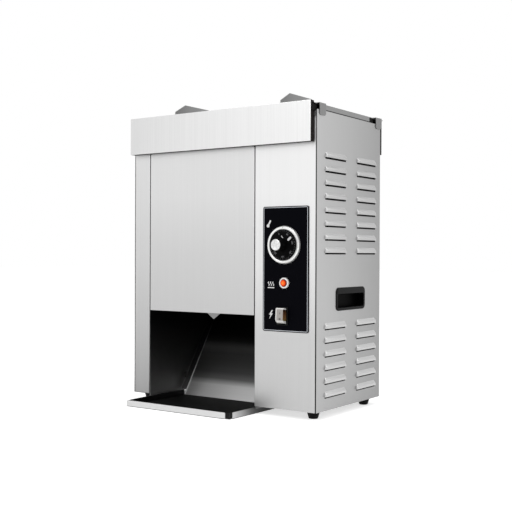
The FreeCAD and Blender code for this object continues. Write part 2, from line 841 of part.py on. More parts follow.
# Heated platen: a flat slab with three channels for strip elements and a rounded top.
platen = new_body("platen")
platen_left = wall_left + s.platen_gap
platen_right = wall_right - s.platen_gap
platen_front = s.platen_middle - s.platen_thick / 2
platen_back = s.platen_middle + s.platen_thick / 2
channel = s.element_thick / 2 + s.seat
add_slab(platen, "YZ", platen_left, platen_right,
         [(platen_front, s.platen_bottom + s.platen_foot_bevel),
          (platen_front + s.platen_foot_bevel, s.platen_bottom),
          (platen_back - s.platen_foot_bevel, s.platen_bottom),
          (platen_back, s.platen_bottom + s.platen_foot_bevel),
          (platen_back, s.platen_top, s.platen_round), (platen_front, s.platen_top, s.platen_round)],
         *[box_corners(s.platen_middle - channel, s.platen_middle + channel,
                       z - s.element_height / 2 - s.seat, z + s.element_height / 2 + s.seat)
           for z in element_levels])
place(platen)

solid_piece("heating_elements", Part.makeCompound([
    block(platen_left - s.element_left, wall_outside + s.element_right,
          s.platen_middle - s.element_thick / 2, s.platen_middle + s.element_thick / 2,
          z - s.element_height / 2, z + s.element_height / 2) for z in element_levels]))

hangers = []
for side, wall, edge in ((-1, wall_left, platen_left), (1, wall_right, platen_right)):
    for z in (s.platen_bottom + s.hanger_low, s.platen_top - s.hanger_high):
        x0, x1 = (wall, edge) if side < 0 else (edge, wall)
        x0, x1 = x0 + s.air_gap, x1 - s.air_gap
        foot = (x0, x0 + s.hanger_sheet) if side < 0 else (x1 - s.hanger_sheet, x1)
        top = z + s.hanger_height
        pad = block(*foot, s.platen_middle - s.hanger_half, s.platen_middle + s.hanger_half, z, top)
        web = block(x0, x1, s.platen_middle - s.hanger_sheet, s.platen_middle + s.hanger_sheet, z, top)
        hangers.append(pad.fuse(web).removeSplitter())
solid_piece("platen_hangers", Part.makeCompound(hangers))

# Release sheet: thin film hung over the platen like a saddle.
film = new_body("release_sheet")
film_in = s.platen_thick / 2 + s.fit_gap
film_out = film_in + s.film_thick
film_under = s.platen_top + s.fit_gap
film_top = film_under + s.film_thick
film_foot = s.platen_bottom + s.film_hem
film_curve = s.platen_round + s.fit_gap
film_curve_out = film_curve + s.film_thick
add_slab(film, "YZ", belt_left + s.roller_over, belt_right - s.roller_over, [
    (s.platen_middle - film_out, film_foot), (s.platen_middle - film_in, film_foot),
    (s.platen_middle - film_in, film_under, film_curve), (s.platen_middle + film_in, film_under, film_curve),
    (s.platen_middle + film_in, film_foot), (s.platen_middle + film_out, film_foot),
    (s.platen_middle + film_out, film_top, film_curve_out),
    (s.platen_middle - film_out, film_top, film_curve_out)])
place(film)


# Belts: endless loops, each round an upper and a lower roller.
def draw_loop(sketch, y, low, high, radius):
    """A closed loop of two upright sides and two half circles."""
    y, low, high, radius = size_of(y), size_of(low), size_of(high), size_of(radius)
    lines = []
    for side, z0, z1 in ((1, low, high), (-1, high, low)):
        x = y.value + side * radius.value
        line = Part.LineSegment(Vector(x, z0.value, 0), Vector(x, z1.value, 0))
        lines.append(sketch.addGeometry(line, False))
        for end, z in ((1, z0), (2, z1)):
            rule = sketch.addConstraint(Sketcher.Constraint("DistanceY", -1, 1, lines[-1], end, z.value))
            sketch.setExpression(f"Constraints[{rule}]", z.text)
    for z, angles, head, tail in ((high, (0, math.pi), lines[0], lines[1]),
                                  (low, (math.pi, 2 * math.pi), lines[1], lines[0])):
        circle = Part.Circle(Vector(y.value, z.value, 0), Vector(0, 0, 1), radius.value)
        arc = sketch.addGeometry(Part.ArcOfCircle(circle, *angles), False)
        pin_point(sketch, arc, 3, y, z)
        rule = sketch.addConstraint(Sketcher.Constraint("Radius", arc, radius.value))
        sketch.setExpression(f"Constraints[{rule}]", radius.text)
        sketch.addConstraint(Sketcher.Constraint("Coincident", head, 2, arc, 1))
        sketch.addConstraint(Sketcher.Constraint("Coincident", arc, 2, tail, 1))


def add_loop(body, x0, x1, y, low, high, radius, thickness):
    sketch = new_sketch(body, "YZ", x0)
    draw_loop(sketch, y, low, high, radius + thickness)
    draw_loop(sketch, y, low, high, radius)
    pad = body.newObject("PartDesign::Pad", f"{body.Label}_loop")
    pad.Profile = sketch
    length = size_of(x1) - size_of(x0)
    pad.Length = length.value
    pad.setExpression("Length", length.text)
    doc.recompute()
    return pad


for label, axis in (("front_belt", front_axis), ("rear_belt", rear_axis)):
    belt = new_body(label)
    add_loop(belt, belt_left, belt_right, axis, s.roller_lower, s.roller_upper, s.roller_radius + s.fit_gap,
             s.belt_thick)
    place(belt)


# Rollers with their journals: the upper ones drive the belts, the lower ones idle. A
# driving roller ends in a six-sided seat that turns its gear.
def make_bar(label, axis, level, *parts, seat=None, turn=0):
    """A turned bar along X; each part gives its two ends and its radius."""
    body = new_body(label)
    for x0, x1, radius in parts:
        add_slab(body, "YZ", x0, x1, (axis, level, radius))
    if seat:
        add_slab(body, "YZ", *seat, six_sides(axis, level, s.shaft_radius, turn))
    return place(body)


def six_sides(y, z, radius, turn=0):
    """A hexagon with a corner towards the back, or turned from there by some degrees."""
    angles = [math.radians(turn) + math.pi * k / 3 for k in range(6)]
    return [(y + radius * math.cos(a), z + radius * math.sin(a)) for a in angles]


# The rear gear stands half a tooth round from the front one, and so does its seat.
HALF_TOOTH = 180 / GEAR_TEETH


shaft_left = wall_left - s.shaft_over
shaft_right = wall_outside + s.gear_stand_off - s.air_gap
bore = s.shaft_radius + s.running_clear
barrel = (belt_left - s.roller_over, belt_right + s.roller_over, s.roller_radius)
ends = {"front": gearbox_left + s.gearbox_bore - OVERCUT, "rear": gear_right + s.air_gap * 4}
for label, axis in (("front", front_axis), ("rear", rear_axis)):
    journals = (shaft_left, shaft_right, s.shaft_radius)
    make_bar(f"{label}_drive_roller", axis, s.roller_upper, barrel, journals,
             seat=(shaft_right - OVERCUT, ends[label]), turn=HALF_TOOTH if label == "rear" else 0)
    make_bar(f"{label}_idler_roller", axis, s.roller_lower, barrel, journals)

bushes = []
for y in (front_axis, rear_axis):
    for side, wall in ((-1, wall_left - t), (1, wall_outside)):
        face, back_face, end = [(wall + side * reach).value for reach in (
            s.bush_face + s.air_gap, s.air_gap, -s.bush_depth)]
        z = s.roller_upper
        flange = block(min(face, back_face), max(face, back_face), y - s.bush_flange, y + s.bush_flange,
                       z - s.bush_flange, z + s.bush_flange)
        neck = block(min(back_face, end), max(back_face, end), y - s.bush_half, y + s.bush_half,
                     z - s.bush_half, z + s.bush_half)
        start = Vector(min(face, end) - OVERCUT, y.value, z.value)
        drill = Part.makeCylinder(bore.value, abs(end - face) + OVERCUT * 2, start, RIGHT)
        bushes.append(flange.fuse(neck).cut(drill).removeSplitter())
solid_piece("shaft_bushes", Part.makeCompound(bushes))


# Gear train: four equal spur gears carry the drive from the front belt to the rear one.
def tooth_ring(body, x0, x1, points, count):
    """Stand one tooth on the blank and repeat it round the gear's own axis."""
    tooth = add_slab(body, "YZ", x0, x1, points)
    ring = repeat(body, "PolarPattern", "teeth", tooth, "N_Axis")
    ring.Angle = 360
    ring.Occurrences = count
    doc.recompute()


def make_gear(label, number_in_train, hole):
    body = new_body(label)
    module = gear_pitch * 2 / GEAR_TEETH
    root = gear_pitch - module * 1.25
    tip = gear_pitch + module
    # The blank has one flat between each two teeth, and its corners lie inside the teeth.
    half_step = math.pi / GEAR_TEETH
    corner = root / math.cos(half_step)
    blank = [(corner * math.cos(2 * half_step * k), corner * math.sin(2 * half_step * k))
             for k in range(GEAR_TEETH)]
    add_slab(body, "YZ", 0, s.gear_face, blank, hole)
    # Half widths of an involute tooth at its foot, pitch line and tip, less the slack.
    widths = [(root - module / 8, module * 0.70), (gear_pitch, module * 0.78), (tip, module * 0.30)]
    widths = [(radius, width - s.gear_slack) for radius, width in widths]
    points = [(radius, -width) for radius, width in widths]
    points += [(radius, width) for radius, width in reversed(widths)]
    tooth_ring(body, 0, s.gear_face, points, GEAR_TEETH)
    turn = HALF_TOOTH if number_in_train % 2 else 0
    return place(body, gear_left, front_axis + gear_pitch * 2 * number_in_train, s.roller_upper, turn)


seat_bore = six_sides(0, 0, bore)
stud_bore = (0, 0, s.stud_radius + s.running_clear)
make_gear("front_gear", 0, seat_bore)
make_gear("idler_gear_front", 1, stud_bore)
make_gear("idler_gear_rear", 2, stud_bore)
make_gear("rear_gear", 3, seat_bore)

stud_start = wall_outside + s.air_gap
stud_length = gear_right + s.air_gap * 4 - stud_start
solid_piece("gear_studs", Part.makeCompound([
    Part.makeCylinder(s.stud_radius.value, stud_length.value, Vector(
        stud_start.value, (front_axis + gear_pitch * 2 * k).value, s.roller_upper.value), RIGHT)
    for k in (1, 2)]))

# Gearmotor on the end of the front belt's shaft: a gearbox with a laminated motor core
# and its coil on the far side. The bracket below carries it on the wall.
gearmotor = new_body("gearmotor")
half_box = s.gearbox_size / 2
motor_left = gearbox_left + s.gearbox_depth
socket = s.shaft_radius + s.fit_gap
core_right = motor_left + s.core_depth
add_slab(gearmotor, "YZ", gearbox_left, motor_left, box_corners(
    front_axis - half_box, front_axis + half_box, s.roller_upper - half_box, s.roller_upper + half_box))
add_slab(gearmotor, "YZ", motor_left, core_right,
         bevelled_square(front_axis, s.roller_upper, s.core_half, s.core_bevel))
add_slab(gearmotor, "YZ", core_right, core_right + s.coil_reach,
         bevelled_square(front_axis, s.roller_upper, s.coil_half, s.core_bevel))
cut_slab(gearmotor, "YZ", gearbox_left - OVERCUT, gearbox_left + s.gearbox_bore, box_corners(
    front_axis - socket, front_axis + socket, s.roller_upper - socket, s.roller_upper + socket))
place(gearmotor)

bracket = new_body("motor_bracket")
gauge = s.motor_bracket_sheet
plate_x = gearbox_left - s.air_gap
wall_face = wall_outside + s.air_gap
bracket_front = front_axis - half_box
bracket_back = front_axis + half_box
bracket_low = s.roller_upper - half_box
shelf_back = bracket_back - gauge
add_slab(bracket, "YZ", plate_x - gauge, plate_x,
         box_corners(bracket_front, bracket_back, bracket_low, s.roller_upper + half_box))
add_slab(bracket, "YZ", wall_face, plate_x - gauge / 2,
         box_corners(bracket_front + gauge, shelf_back, bracket_low, bracket_low + gauge))
add_slab(bracket, "YZ", wall_face, wall_face + gauge, box_corners(
    bracket_front + gauge, shelf_back, bracket_low - s.motor_bracket_foot, bracket_low + gauge / 2))
hub = s.motor_bracket_hole
cut_slab(bracket, "YZ", plate_x - gauge - OVERCUT, plate_x + OVERCUT,
         box_corners(front_axis - hub, front_axis + hub, s.roller_upper - hub, s.roller_upper + hub))
place(bracket)

# Thermostat behind the control column, and the cord's strain relief in the rear panel.
thermostat = new_body("thermostat_body")
half_stat = s.thermostat_size / 2
stat_front = t + s.fit_gap
add_slab(thermostat, "XZ", stat_front, stat_front + s.thermostat_depth, box_corners(
    s.knob_centre - half_stat, s.knob_centre + half_stat, s.knob_level - half_stat, s.knob_level + half_stat))
cut_slab(thermostat, "XZ", stat_front - OVERCUT, s.spindle_end + OVERCUT, knob_cut)
place(thermostat)

gland = new_body("cable_gland")
outside = s.casing_depth + s.air_gap
head = s.gland_half + s.gland_flange
cord_hole = bevelled_box(s.gland_centre - s.cord_half_width, s.gland_centre + s.cord_half_width,
                         s.gland_level - s.cord_half_height, s.gland_level + s.cord_half_height, s.cord_corner)
for y0, y1, half in ((outside, outside + s.gland_reach, head),
                     (s.casing_depth - s.gland_inside, outside, s.gland_half)):
    add_slab(gland, "XZ", y0, y1, cord_hole,
             bevelled_square(s.gland_centre, s.gland_level, half, s.gland_bevel))
place(gland)

# Control column: black plate with a raised edge, cut for the knob, lamp and switch.
plate = new_body("label_plate")
plate_x0 = s.plate_centre - s.plate_width / 2
plate_x1 = plate_x0 + s.plate_width
plate_z0 = s.plate_level - s.plate_height / 2
plate_z1 = plate_z0 + s.plate_height
rim = s.plate_rim
field = -s.seat - s.plate_thick
crown = field - s.plate_rim_rise
add_slab(plate, "XZ", crown, -s.seat, bevelled_box(plate_x0, plate_x1, plate_z0, plate_z1, s.plate_corner))
cut_slab(plate, "XZ", crown - OVERCUT, field,
         box_corners(plate_x0 + rim, plate_x1 - rim, plate_z0 + rim, plate_z1 - rim))
cut_slab(plate, "XZ", field - OVERCUT, OVERCUT, knob_cut, lamp_cut, switch_cut)
place(plate)

# Thermostat dial: a fixed index disc that shows as a ring round the turning knob, and
# a bright cap on the knob's face.
dial_back = field - s.seat
bezel_face = dial_back - s.bezel_thick
bezel = new_body("dial_bezel")
add_slab(bezel, "XZ", bezel_face, dial_back, (0, 0, s.bezel_radius),
         box_corners(-s.knob_hole, s.knob_hole, -s.knob_hole, s.knob_hole))
place(bezel, s.knob_centre, 0, s.knob_level)

knob = new_body("thermostat_knob")
knob_back = bezel_face - s.fit_gap
dial_face = knob_back - s.dial_thick
grip_face = dial_face - s.grip_length
bore_end = grip_face + s.spindle_bore
add_slab(knob, "XZ", dial_face, knob_back, (0, 0, s.dial_radius))
add_slab(knob, "XZ", grip_face, dial_face, (0, 0, s.grip_radius))
cut_slab(knob, "XZ", bore_end, knob_back + OVERCUT,
         bevelled_square(0, 0, s.spindle_radius + s.running_clear, s.spindle_bevel))
place(knob, s.knob_centre, 0, s.knob_level)

cap = new_body("knob_cap")
cap_back = grip_face - s.seat
add_slab(cap, "XZ", cap_back - s.cap_thick, cap_back, (0, 0, s.cap_radius))
place(cap, s.knob_centre, 0, s.knob_level)

spindle_front = bore_end + s.air_gap
spindle = new_body("thermostat_spindle")
add_slab(spindle, "XZ", spindle_front, s.spindle_end, bevelled_square(0, 0, s.spindle_radius, s.spindle_bevel))
place(spindle, s.knob_centre, 0, s.knob_level)

# Pilot lamp: a pale ring on the plate, and a lens whose stem passes through the panel.
lamp = new_body("lamp_bezel")
lamp_spot = (s.lamp_centre, s.lamp_level)
lamp_face = dial_back - s.lamp_rim
add_slab(lamp, "XZ", lamp_face, dial_back, (*lamp_spot, s.lamp_radius), lamp_cut)
place(lamp)
lens = new_body("lamp_lens")
lens_back = lamp_face - s.seat
add_slab(lens, "XZ", dial_back - s.lens_rise, lens_back, (*lamp_spot, s.lens_radius))
add_slab(lens, "XZ", lens_back, dial_back + s.lamp_stem_length,
         bevelled_square(*lamp_spot, s.lamp_stem_half, s.lamp_stem_bevel))
place(lens)

# Power switch: frame with its body behind the panel, and a rocker on a cross pivot.
frame = new_body("switch_frame")
frame_face = dial_back - s.switch_face
step = s.switch_step
add_slab(frame, "XZ", frame_face, dial_back, box_corners(switch_x0, switch_x1, switch_z0, switch_z1))
add_slab(frame, "XZ", dial_back - OVERCUT, s.switch_body_depth, box_corners(
    switch_x0 + step, switch_x1 - step, switch_z0 + step, switch_z1 - step))
rock_x0 = s.switch_centre - s.rocker_width / 2
rock_x1 = rock_x0 + s.rocker_width
well = s.rocker_height / 2 + s.rocker_play
cut_slab(frame, "XZ", frame_face - OVERCUT, s.switch_well_depth, box_corners(
    rock_x0 - s.rocker_side_play, rock_x1 + s.rocker_side_play, s.switch_level - well, s.switch_level + well))
place(frame)

rocker = new_body("switch_rocker")
tip_z = s.rocker_height / 2
curl = s.rocker_corner
upper = [(-s.rocker_valley, 0), (-s.rocker_crest, tip_z - curl),
         (-s.rocker_crest + curl * 0.3, tip_z - curl * 0.3), (-s.rocker_crest + curl, tip_z),
         (0, tip_z), (s.rocker_back, s.rocker_back_half)]
lower = [(y, -z) for y, z in reversed(upper[1:])]
add_slab(rocker, "YZ", rock_x0, rock_x1, upper + lower)
add_slab(rocker, "YZ", rock_x0 - s.rocker_pin_over, rock_x1 + s.rocker_pin_over, (0, 0, s.rocker_pin))
place(rocker, 0, s.rocker_pivot, s.switch_level, -s.rocker_tilt.value)

# Hood: deck with the feed slots and folded lips, on four hooks and four rubber buffers.
deck = new_body("hood_deck")
rail_x = half_width - s.rail_inset
deck_under = s.deck_top - t
deck_front = -s.band_reach + t + s.fit_gap
deck_back = s.casing_depth + s.rear_band_reach - t - s.fit_gap
slot_left = s.cheek_left + s.cheek_sheet + s.slot_end
slot_right = s.cheek_right - s.slot_end
add_slab(deck, "XY", deck_under, s.deck_top, box_corners(-rail_x, rail_x, deck_front, deck_back))
for x0, x1 in ((-rail_x, t - rail_x), (rail_x - t, rail_x)):
    add_slab(deck, "XY", s.rail_bottom, s.deck_top - s.air_gap, box_corners(x0, x1, s.rail_front, s.rail_rear))
slots = [(slot_front, slot_front + s.feed_slot), (slot_rear, slot_rear + s.feed_slot)]
lip_low = deck_under - s.slot_lip
for y0, y1 in slots:
    add_slab(deck, "XY", lip_low, s.deck_top - s.air_gap,
             box_corners(slot_left - t, slot_right + t, y0 - t, y1 + t))
for y0, y1 in slots:
    cut_slab(deck, "XY", lip_low - OVERCUT, s.deck_top + OVERCUT, box_corners(slot_left, slot_right, y0, y1))
place(deck)


def make_band(label, face, inward):
    """A sheet band across the hood, with a short hem folded inward at top and foot."""
    body = new_body(label)
    hem = face + inward * s.band_hem
    skin = face + inward * t
    low, high = s.band_bottom, s.band_top
    add_slab(body, "YZ", -half_width + s.band_left_inset, half_width - s.band_right_inset, [
        (hem, low), (face, low, s.band_bend), (face, high, s.band_bend), (hem, high),
        (hem, high - t), (skin, high - t), (skin, low + t), (hem, low + t)])
    return place(body)


make_band("front_band", -s.band_reach, 1)
make_band("rear_band", s.casing_depth + s.rear_band_reach, -1)

hooks = []
hook_out = half_width + s.hook_strap + s.fit_gap
hook_top = s.deck_top + s.air_gap + s.hook_strap
for side in (-1, 1):
    for y0 in (s.hook_front, s.hook_rear):
        y1 = y0 + s.hook_width
        strap = block(hook_out - s.hook_strap, hook_out, y0, y1, s.hook_bottom, hook_top)
        feet_edges = [e for e in strap.Edges if abs(e.CenterOfMass.z - s.hook_bottom.value) < s.seat.value
                      and abs(e.Length - s.hook_strap.value) < s.seat.value]
        strap = strap.makeChamfer(s.hook_corner.value, feet_edges)
        arm = block(hook_out - s.hook_arm, hook_out, y0, y1, hook_top - s.hook_strap, hook_top)
        hook = strap.fuse(arm).removeSplitter()
        ridge = [e for e in hook.Edges if abs(e.CenterOfMass.x - hook_out.value) < s.seat.value
                 and abs(e.CenterOfMass.z - hook_top.value) < s.seat.value]
        hook = hook.makeChamfer(s.hook_bend.value, ridge)
        hooks.append(hook if side > 0 else hook.mirror(Vector(0, 0, 0), RIGHT))
solid_piece("hood_hooks", Part.makeCompound(hooks))

buffers = []
for side in (-1, 1):
    for y0 in (s.buffer_front, s.buffer_rear):
        x0, x1 = spread(side, rail_x - s.buffer_width, rail_x - t - s.air_gap)
        buffers.append(block(x0, x1, y0, y0 + s.buffer_length, top_face + s.fit_gap, deck_under - s.air_gap))
solid_piece("hood_buffers", Part.makeCompound(buffers))


def make_cheek(label, x0, outward):
    """An upright plate beside the feed slots, with a foot turned outward on the deck."""
    body = new_body(label)
    foot = s.deck_top + s.air_gap
    x1 = x0 + s.cheek_sheet
    add_slab(body, "YZ", x0, x1, [
        (s.cheek_front, foot), (s.cheek_rear, foot), (s.cheek_rear, s.cheek_top - s.cheek_corner),
        (s.cheek_rear - s.cheek_corner, s.cheek_top), (s.cheek_front + s.cheek_slope_depth, s.cheek_top),
        (s.cheek_front, s.cheek_top - s.cheek_slope_drop)])
    f0, f1 = (x0, x0 + s.cheek_foot) if outward > 0 else (x1 - s.cheek_foot, x1)
    add_slab(body, "XY", foot, foot + s.cheek_sheet, box_corners(f0, f1, s.cheek_front, s.cheek_rear))
    return place(body)


make_cheek("left_cheek", s.cheek_left, -1)
make_cheek("right_cheek", s.cheek_right, 1)

# Front cover: a lift-off sheet folded back on all four sides, hung on the crossbar.
cover = new_body("front_cover")
fold_back = s.cover_return - s.cover_fold_inset
add_slab(cover, "XY", s.cover_bottom, s.cover_top - s.cover_notch, [
    (cover_left, s.cover_return), (cover_left, 0, s.front_bend), (cover_right, 0, s.front_bend),
    (cover_right, s.cover_return), (cover_right - t, s.cover_return), (cover_right - t, t),
    (cover_left + t, t), (cover_left + t, s.cover_return)])
add_slab(cover, "YZ", cover_left + s.cover_fold_inset, cover_right - s.cover_fold_inset, [
    (fold_back, s.cover_bottom), (0, s.cover_bottom, s.front_bend), (0, s.cover_top, s.front_bend),
    (fold_back, s.cover_top), (fold_back, s.cover_top - t), (t, s.cover_top - t),
    (t, s.cover_bottom + t), (fold_back, s.cover_bottom + t)])
place(cover)

# Crumb and bun tray: a flat pan with separate upturned rims, and a dark liner in it.
tray_left = s.tray_centre - s.tray_width / 2
tray_right = s.tray_centre + s.tray_width / 2
tray_front = -s.tray_reach
tray_floor = -s.foot_height
rim_top = tray_floor + s.tray_rim
rim_back = tray_front + s.rim_depth
sheet = s.tray_sheet
nib = s.tray_corner
tray = new_body("bun_tray")
add_slab(tray, "XY", tray_floor, tray_floor + sheet,
         box_corners(tray_left, tray_right, tray_front, tray_front + s.tray_depth))
rim_left = tray_left + s.tray_notch
rim_right = tray_right - s.tray_notch
rim_front = tray_front + s.tray_notch
add_slab(tray, "XZ", tray_front, tray_front + sheet, [
    (rim_left, tray_floor), (rim_right, tray_floor), (rim_right, rim_top - nib), (rim_right - nib, rim_top),
    (rim_left + nib, rim_top), (rim_left, rim_top - nib)])
for x0 in (tray_left, tray_right - sheet):
    add_slab(tray, "YZ", x0, x0 + sheet, [
        (rim_front, tray_floor), (rim_back, tray_floor), (rim_back, rim_top - nib), (rim_back - nib, rim_top),
        (rim_front + nib, rim_top), (rim_front, rim_top - nib)])
place(tray)

liner = new_body("tray_liner")
gap = sheet + s.fit_gap
thin = s.liner_sheet
liner_floor = tray_floor + sheet + s.air_gap
liner_x0 = tray_left + gap
liner_x1 = tray_right - gap
liner_y0 = tray_front + gap
add_slab(liner, "XY", liner_floor, liner_floor + s.liner_rim,
         box_corners(liner_x0, liner_x1, liner_y0, s.liner_back))
cut_slab(liner, "XY", liner_floor + thin, liner_floor + s.liner_rim + OVERCUT, box_corners(
    liner_x0 + thin, liner_x1 - thin, liner_y0 + thin, s.liner_back + OVERCUT))
place(liner)

# Check every step, then write each piece under its own name.
doc.recompute()
faults = [o.Label for o in doc.Objects if "Invalid" in o.State or "Error" in o.State]
faults += [p.Label for p in pieces if p.Shape.isNull() or not p.Shape.isValid() or not p.Shape.Solids]
if faults:
    raise RuntimeError(f"these pieces or steps failed: {faults}")
os.makedirs("parts", exist_ok=True)
for piece in pieces:
    piece.Shape.exportStep(f"parts/{piece.Label}.step")
print(f"{len(pieces)} pieces written")
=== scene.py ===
import math

import bmesh
import bpy
from mathutils import Matrix, Vector


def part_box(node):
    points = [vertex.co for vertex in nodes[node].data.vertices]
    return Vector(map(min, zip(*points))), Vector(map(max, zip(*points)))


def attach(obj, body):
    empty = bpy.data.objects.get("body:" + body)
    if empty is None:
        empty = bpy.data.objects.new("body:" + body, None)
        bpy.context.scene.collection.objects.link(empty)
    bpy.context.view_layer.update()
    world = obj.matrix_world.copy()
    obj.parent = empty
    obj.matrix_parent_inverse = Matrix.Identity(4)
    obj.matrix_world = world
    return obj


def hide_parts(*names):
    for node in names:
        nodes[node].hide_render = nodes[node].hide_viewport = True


# Vertical bun toaster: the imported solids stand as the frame, and every piece rides on
# them. Metres, Z up, the user's side towards -Y.
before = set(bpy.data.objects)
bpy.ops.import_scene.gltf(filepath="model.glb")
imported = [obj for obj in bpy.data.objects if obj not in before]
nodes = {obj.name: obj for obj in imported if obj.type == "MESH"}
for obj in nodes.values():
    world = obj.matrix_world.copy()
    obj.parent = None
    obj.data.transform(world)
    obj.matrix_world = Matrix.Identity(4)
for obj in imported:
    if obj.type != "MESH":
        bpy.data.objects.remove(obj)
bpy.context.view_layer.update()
scene = bpy.context.scene


# The viewpoint: a camera standing to the right of the front, level with the middle of
# the casing. Place, turn and focal length come from the straight edges in the picture.
EYE = Vector((1.08033, -1.52067, 0.30741))
YAW = math.radians(-34.825)
PITCH = math.radians(-0.111)
ROLL = math.radians(0.227)
FOCAL_PIXELS = 902.6
PICTURE_PIXELS = 512
SENSOR = 36.0
VIEW_REACH = 60

forward = Vector((math.sin(YAW) * math.cos(PITCH), math.cos(YAW) * math.cos(PITCH), math.sin(PITCH)))
level_right = forward.cross(Vector((0, 0, 1))).normalized()
level_up = level_right.cross(forward)
right = level_right * math.cos(ROLL) + level_up * math.sin(ROLL)
up = level_up * math.cos(ROLL) - level_right * math.sin(ROLL)
camera_data = bpy.data.cameras.new("camera")
camera_data.sensor_width = SENSOR
camera_data.lens = FOCAL_PIXELS / PICTURE_PIXELS * SENSOR
camera_data.clip_end = VIEW_REACH
camera = bpy.data.objects.new("camera", camera_data)
camera.matrix_world = Matrix((
    (right.x, up.x, -forward.x, EYE.x),
    (right.y, up.y, -forward.y, EYE.y),
    (right.z, up.z, -forward.z, EYE.z),
    (0, 0, 0, 1)))
scene.collection.objects.link(camera)
scene.camera = camera
scene.view_settings.view_transform = "Standard"


# The room: white all round, with soft lamps at a plain level. The floor is a pale
# sheet that takes the machine's shadow and otherwise runs into the white.
def add_node(tree, kind, **sockets):
    node = tree.nodes.new(kind)
    for name, value in sockets.items():
        node.inputs[name.replace("_", " ")].default_value = value
    return node


def join(tree, source, output, target, socket):
    tree.links.new(source.outputs[output], target.inputs[socket])


def math_node(tree, operation, first, second=None, third=None, clamp=False):
    """A Math node whose inputs are numbers or (node, output) pairs."""
    node = tree.nodes.new("ShaderNodeMath")
    node.operation = operation
    node.use_clamp = clamp
    for index, value in enumerate((first, second, third)):
        if isinstance(value, tuple):
            join(tree, value[0], value[1], node, index)
        elif value is not None:
            node.inputs[index].default_value = value
    return node


def seen_by_eye(tree):
    """One for rays that reach the eye straight, by a mirror or through glass."""
    path = tree.nodes.new("ShaderNodeLightPath")
    glossy = math_node(tree, "MAXIMUM", (path, "Is Camera Ray"), (path, "Is Glossy Ray"))
    return math_node(tree, "MAXIMUM", (glossy, "Value"), (path, "Is Transmission Ray"))


ROOM_LIGHT = 0.55
world = bpy.data.worlds.new("room")
world.use_nodes = True
tree = world.node_tree
tree.nodes.clear()
soft = add_node(tree, "ShaderNodeBackground", Color=(1, 1, 1, 1), Strength=ROOM_LIGHT)
white = add_node(tree, "ShaderNodeBackground", Color=(1, 1, 1, 1), Strength=1.0)
mix = tree.nodes.new("ShaderNodeMixShader")
out = tree.nodes.new("ShaderNodeOutputWorld")
join(tree, seen_by_eye(tree), "Value", mix, "Fac")
join(tree, soft, "Background", mix, 1)
join(tree, white, "Background", mix, 2)
join(tree, mix, "Shader", out, "Surface")
scene.world = world


def add_lamp(name, place, aim, size, power):
    data = bpy.data.lights.new(name, "AREA")
    data.shape = "SQUARE"
    data.size = size
    data.energy = power
    lamp = bpy.data.objects.new(name, data)
    lamp.location = place
    lamp.rotation_euler = (Vector(aim) - Vector(place)).to_track_quat("-Z", "Y").to_euler()
    scene.collection.objects.link(lamp)


# Each lamp's name, place, aim, size and power in watts.
LAMPS = (
    ("key", (-0.6, -2.6, 2.4), (0, 0, 0.3), 1.6, 30),
    ("overhead", (0.4, -0.2, 3.0), (0, 0, 0.3), 1.8, 24),
    ("side", (2.6, 0.9, 2.0), (0.2, 0, 0.3), 1.2, 16))
for lamp_facts in LAMPS:
    add_lamp(*lamp_facts)

# The floor's dark part: along each axis, where it begins and where it is full.
FLOOR_REACH = 14
FLOOR_GREY = 0.80
FLOOR_GLOW = 0.62
DARK_EDGES = (("X", -0.226, -0.206), ("X", 0.0, -0.13), ("Y", -0.09, -0.03), ("Y", 0.152, 0.10))
floor_mesh = bpy.data.meshes.new("floor")
sheet = bmesh.new()
bmesh.ops.create_grid(sheet, x_segments=1, y_segments=1, size=FLOOR_REACH)
sheet.to_mesh(floor_mesh)
sheet.free()
floor = bpy.data.objects.new("floor", floor_mesh)
scene.collection.objects.link(floor)
floor_look = bpy.data.materials.new("floor")
floor_look.use_nodes = True
tree = floor_look.node_tree
tree.nodes.clear()
matt = add_node(tree, "ShaderNodeBsdfDiffuse", Color=(*[FLOOR_GREY] * 3, 1))
glow = add_node(tree, "ShaderNodeEmission", Color=(1, 1, 1, 1))
both = tree.nodes.new("ShaderNodeAddShader")
mix = tree.nodes.new("ShaderNodeMixShader")
out = tree.nodes.new("ShaderNodeOutputMaterial")
# Under the chamber's side of the casing the floor lies in the dark, softly up to its edges.
place = tree.nodes.new("ShaderNodeTexCoord")
split = tree.nodes.new("ShaderNodeSeparateXYZ")
join(tree, place, "Object", split, "Vector")
dark = 1.0
for axis, outer, inner in DARK_EDGES:
    share = add_node(tree, "ShaderNodeMapRange", From_Min=outer, From_Max=inner)
    share.interpolation_type = "SMOOTHSTEP"
    join(tree, split, axis, share, "Value")
    dark = (math_node(tree, "MULTIPLY", dark, (share, "Result")), "Value")
lit = math_node(tree, "MULTIPLY_ADD", dark, -FLOOR_GLOW, FLOOR_GLOW)
join(tree, lit, "Value", glow, "Strength")
join(tree, matt, "BSDF", both, 0)
join(tree, glow, "Emission", both, 1)
join(tree, seen_by_eye(tree), "Value", mix, "Fac")
join(tree, matt, "BSDF", mix, 1)
join(tree, both, "Shader", mix, 2)
join(tree, mix, "Shader", out, "Surface")
floor_mesh.materials.append(floor_look)


# Casing sheets at the front: post, control panel and the cover between them. Brushed
# stainless, folded back at the sides, with an upright grain rubbed in at the mill. The
# tone is painted shade, gently darker down each sheet, following the room's light.
def object_place(tree, centre=(0, 0, 0), scale=(1, 1, 1)):
    """Object coordinates, moved to a centre and stretched."""
    source = tree.nodes.new("ShaderNodeTexCoord")
    mapping = tree.nodes.new("ShaderNodeMapping")
    mapping.inputs["Location"].default_value = [-c * k for c, k in zip(centre, scale)]
    mapping.inputs["Scale"].default_value = scale
    join(tree, source, "Object", mapping, "Vector")
    return mapping


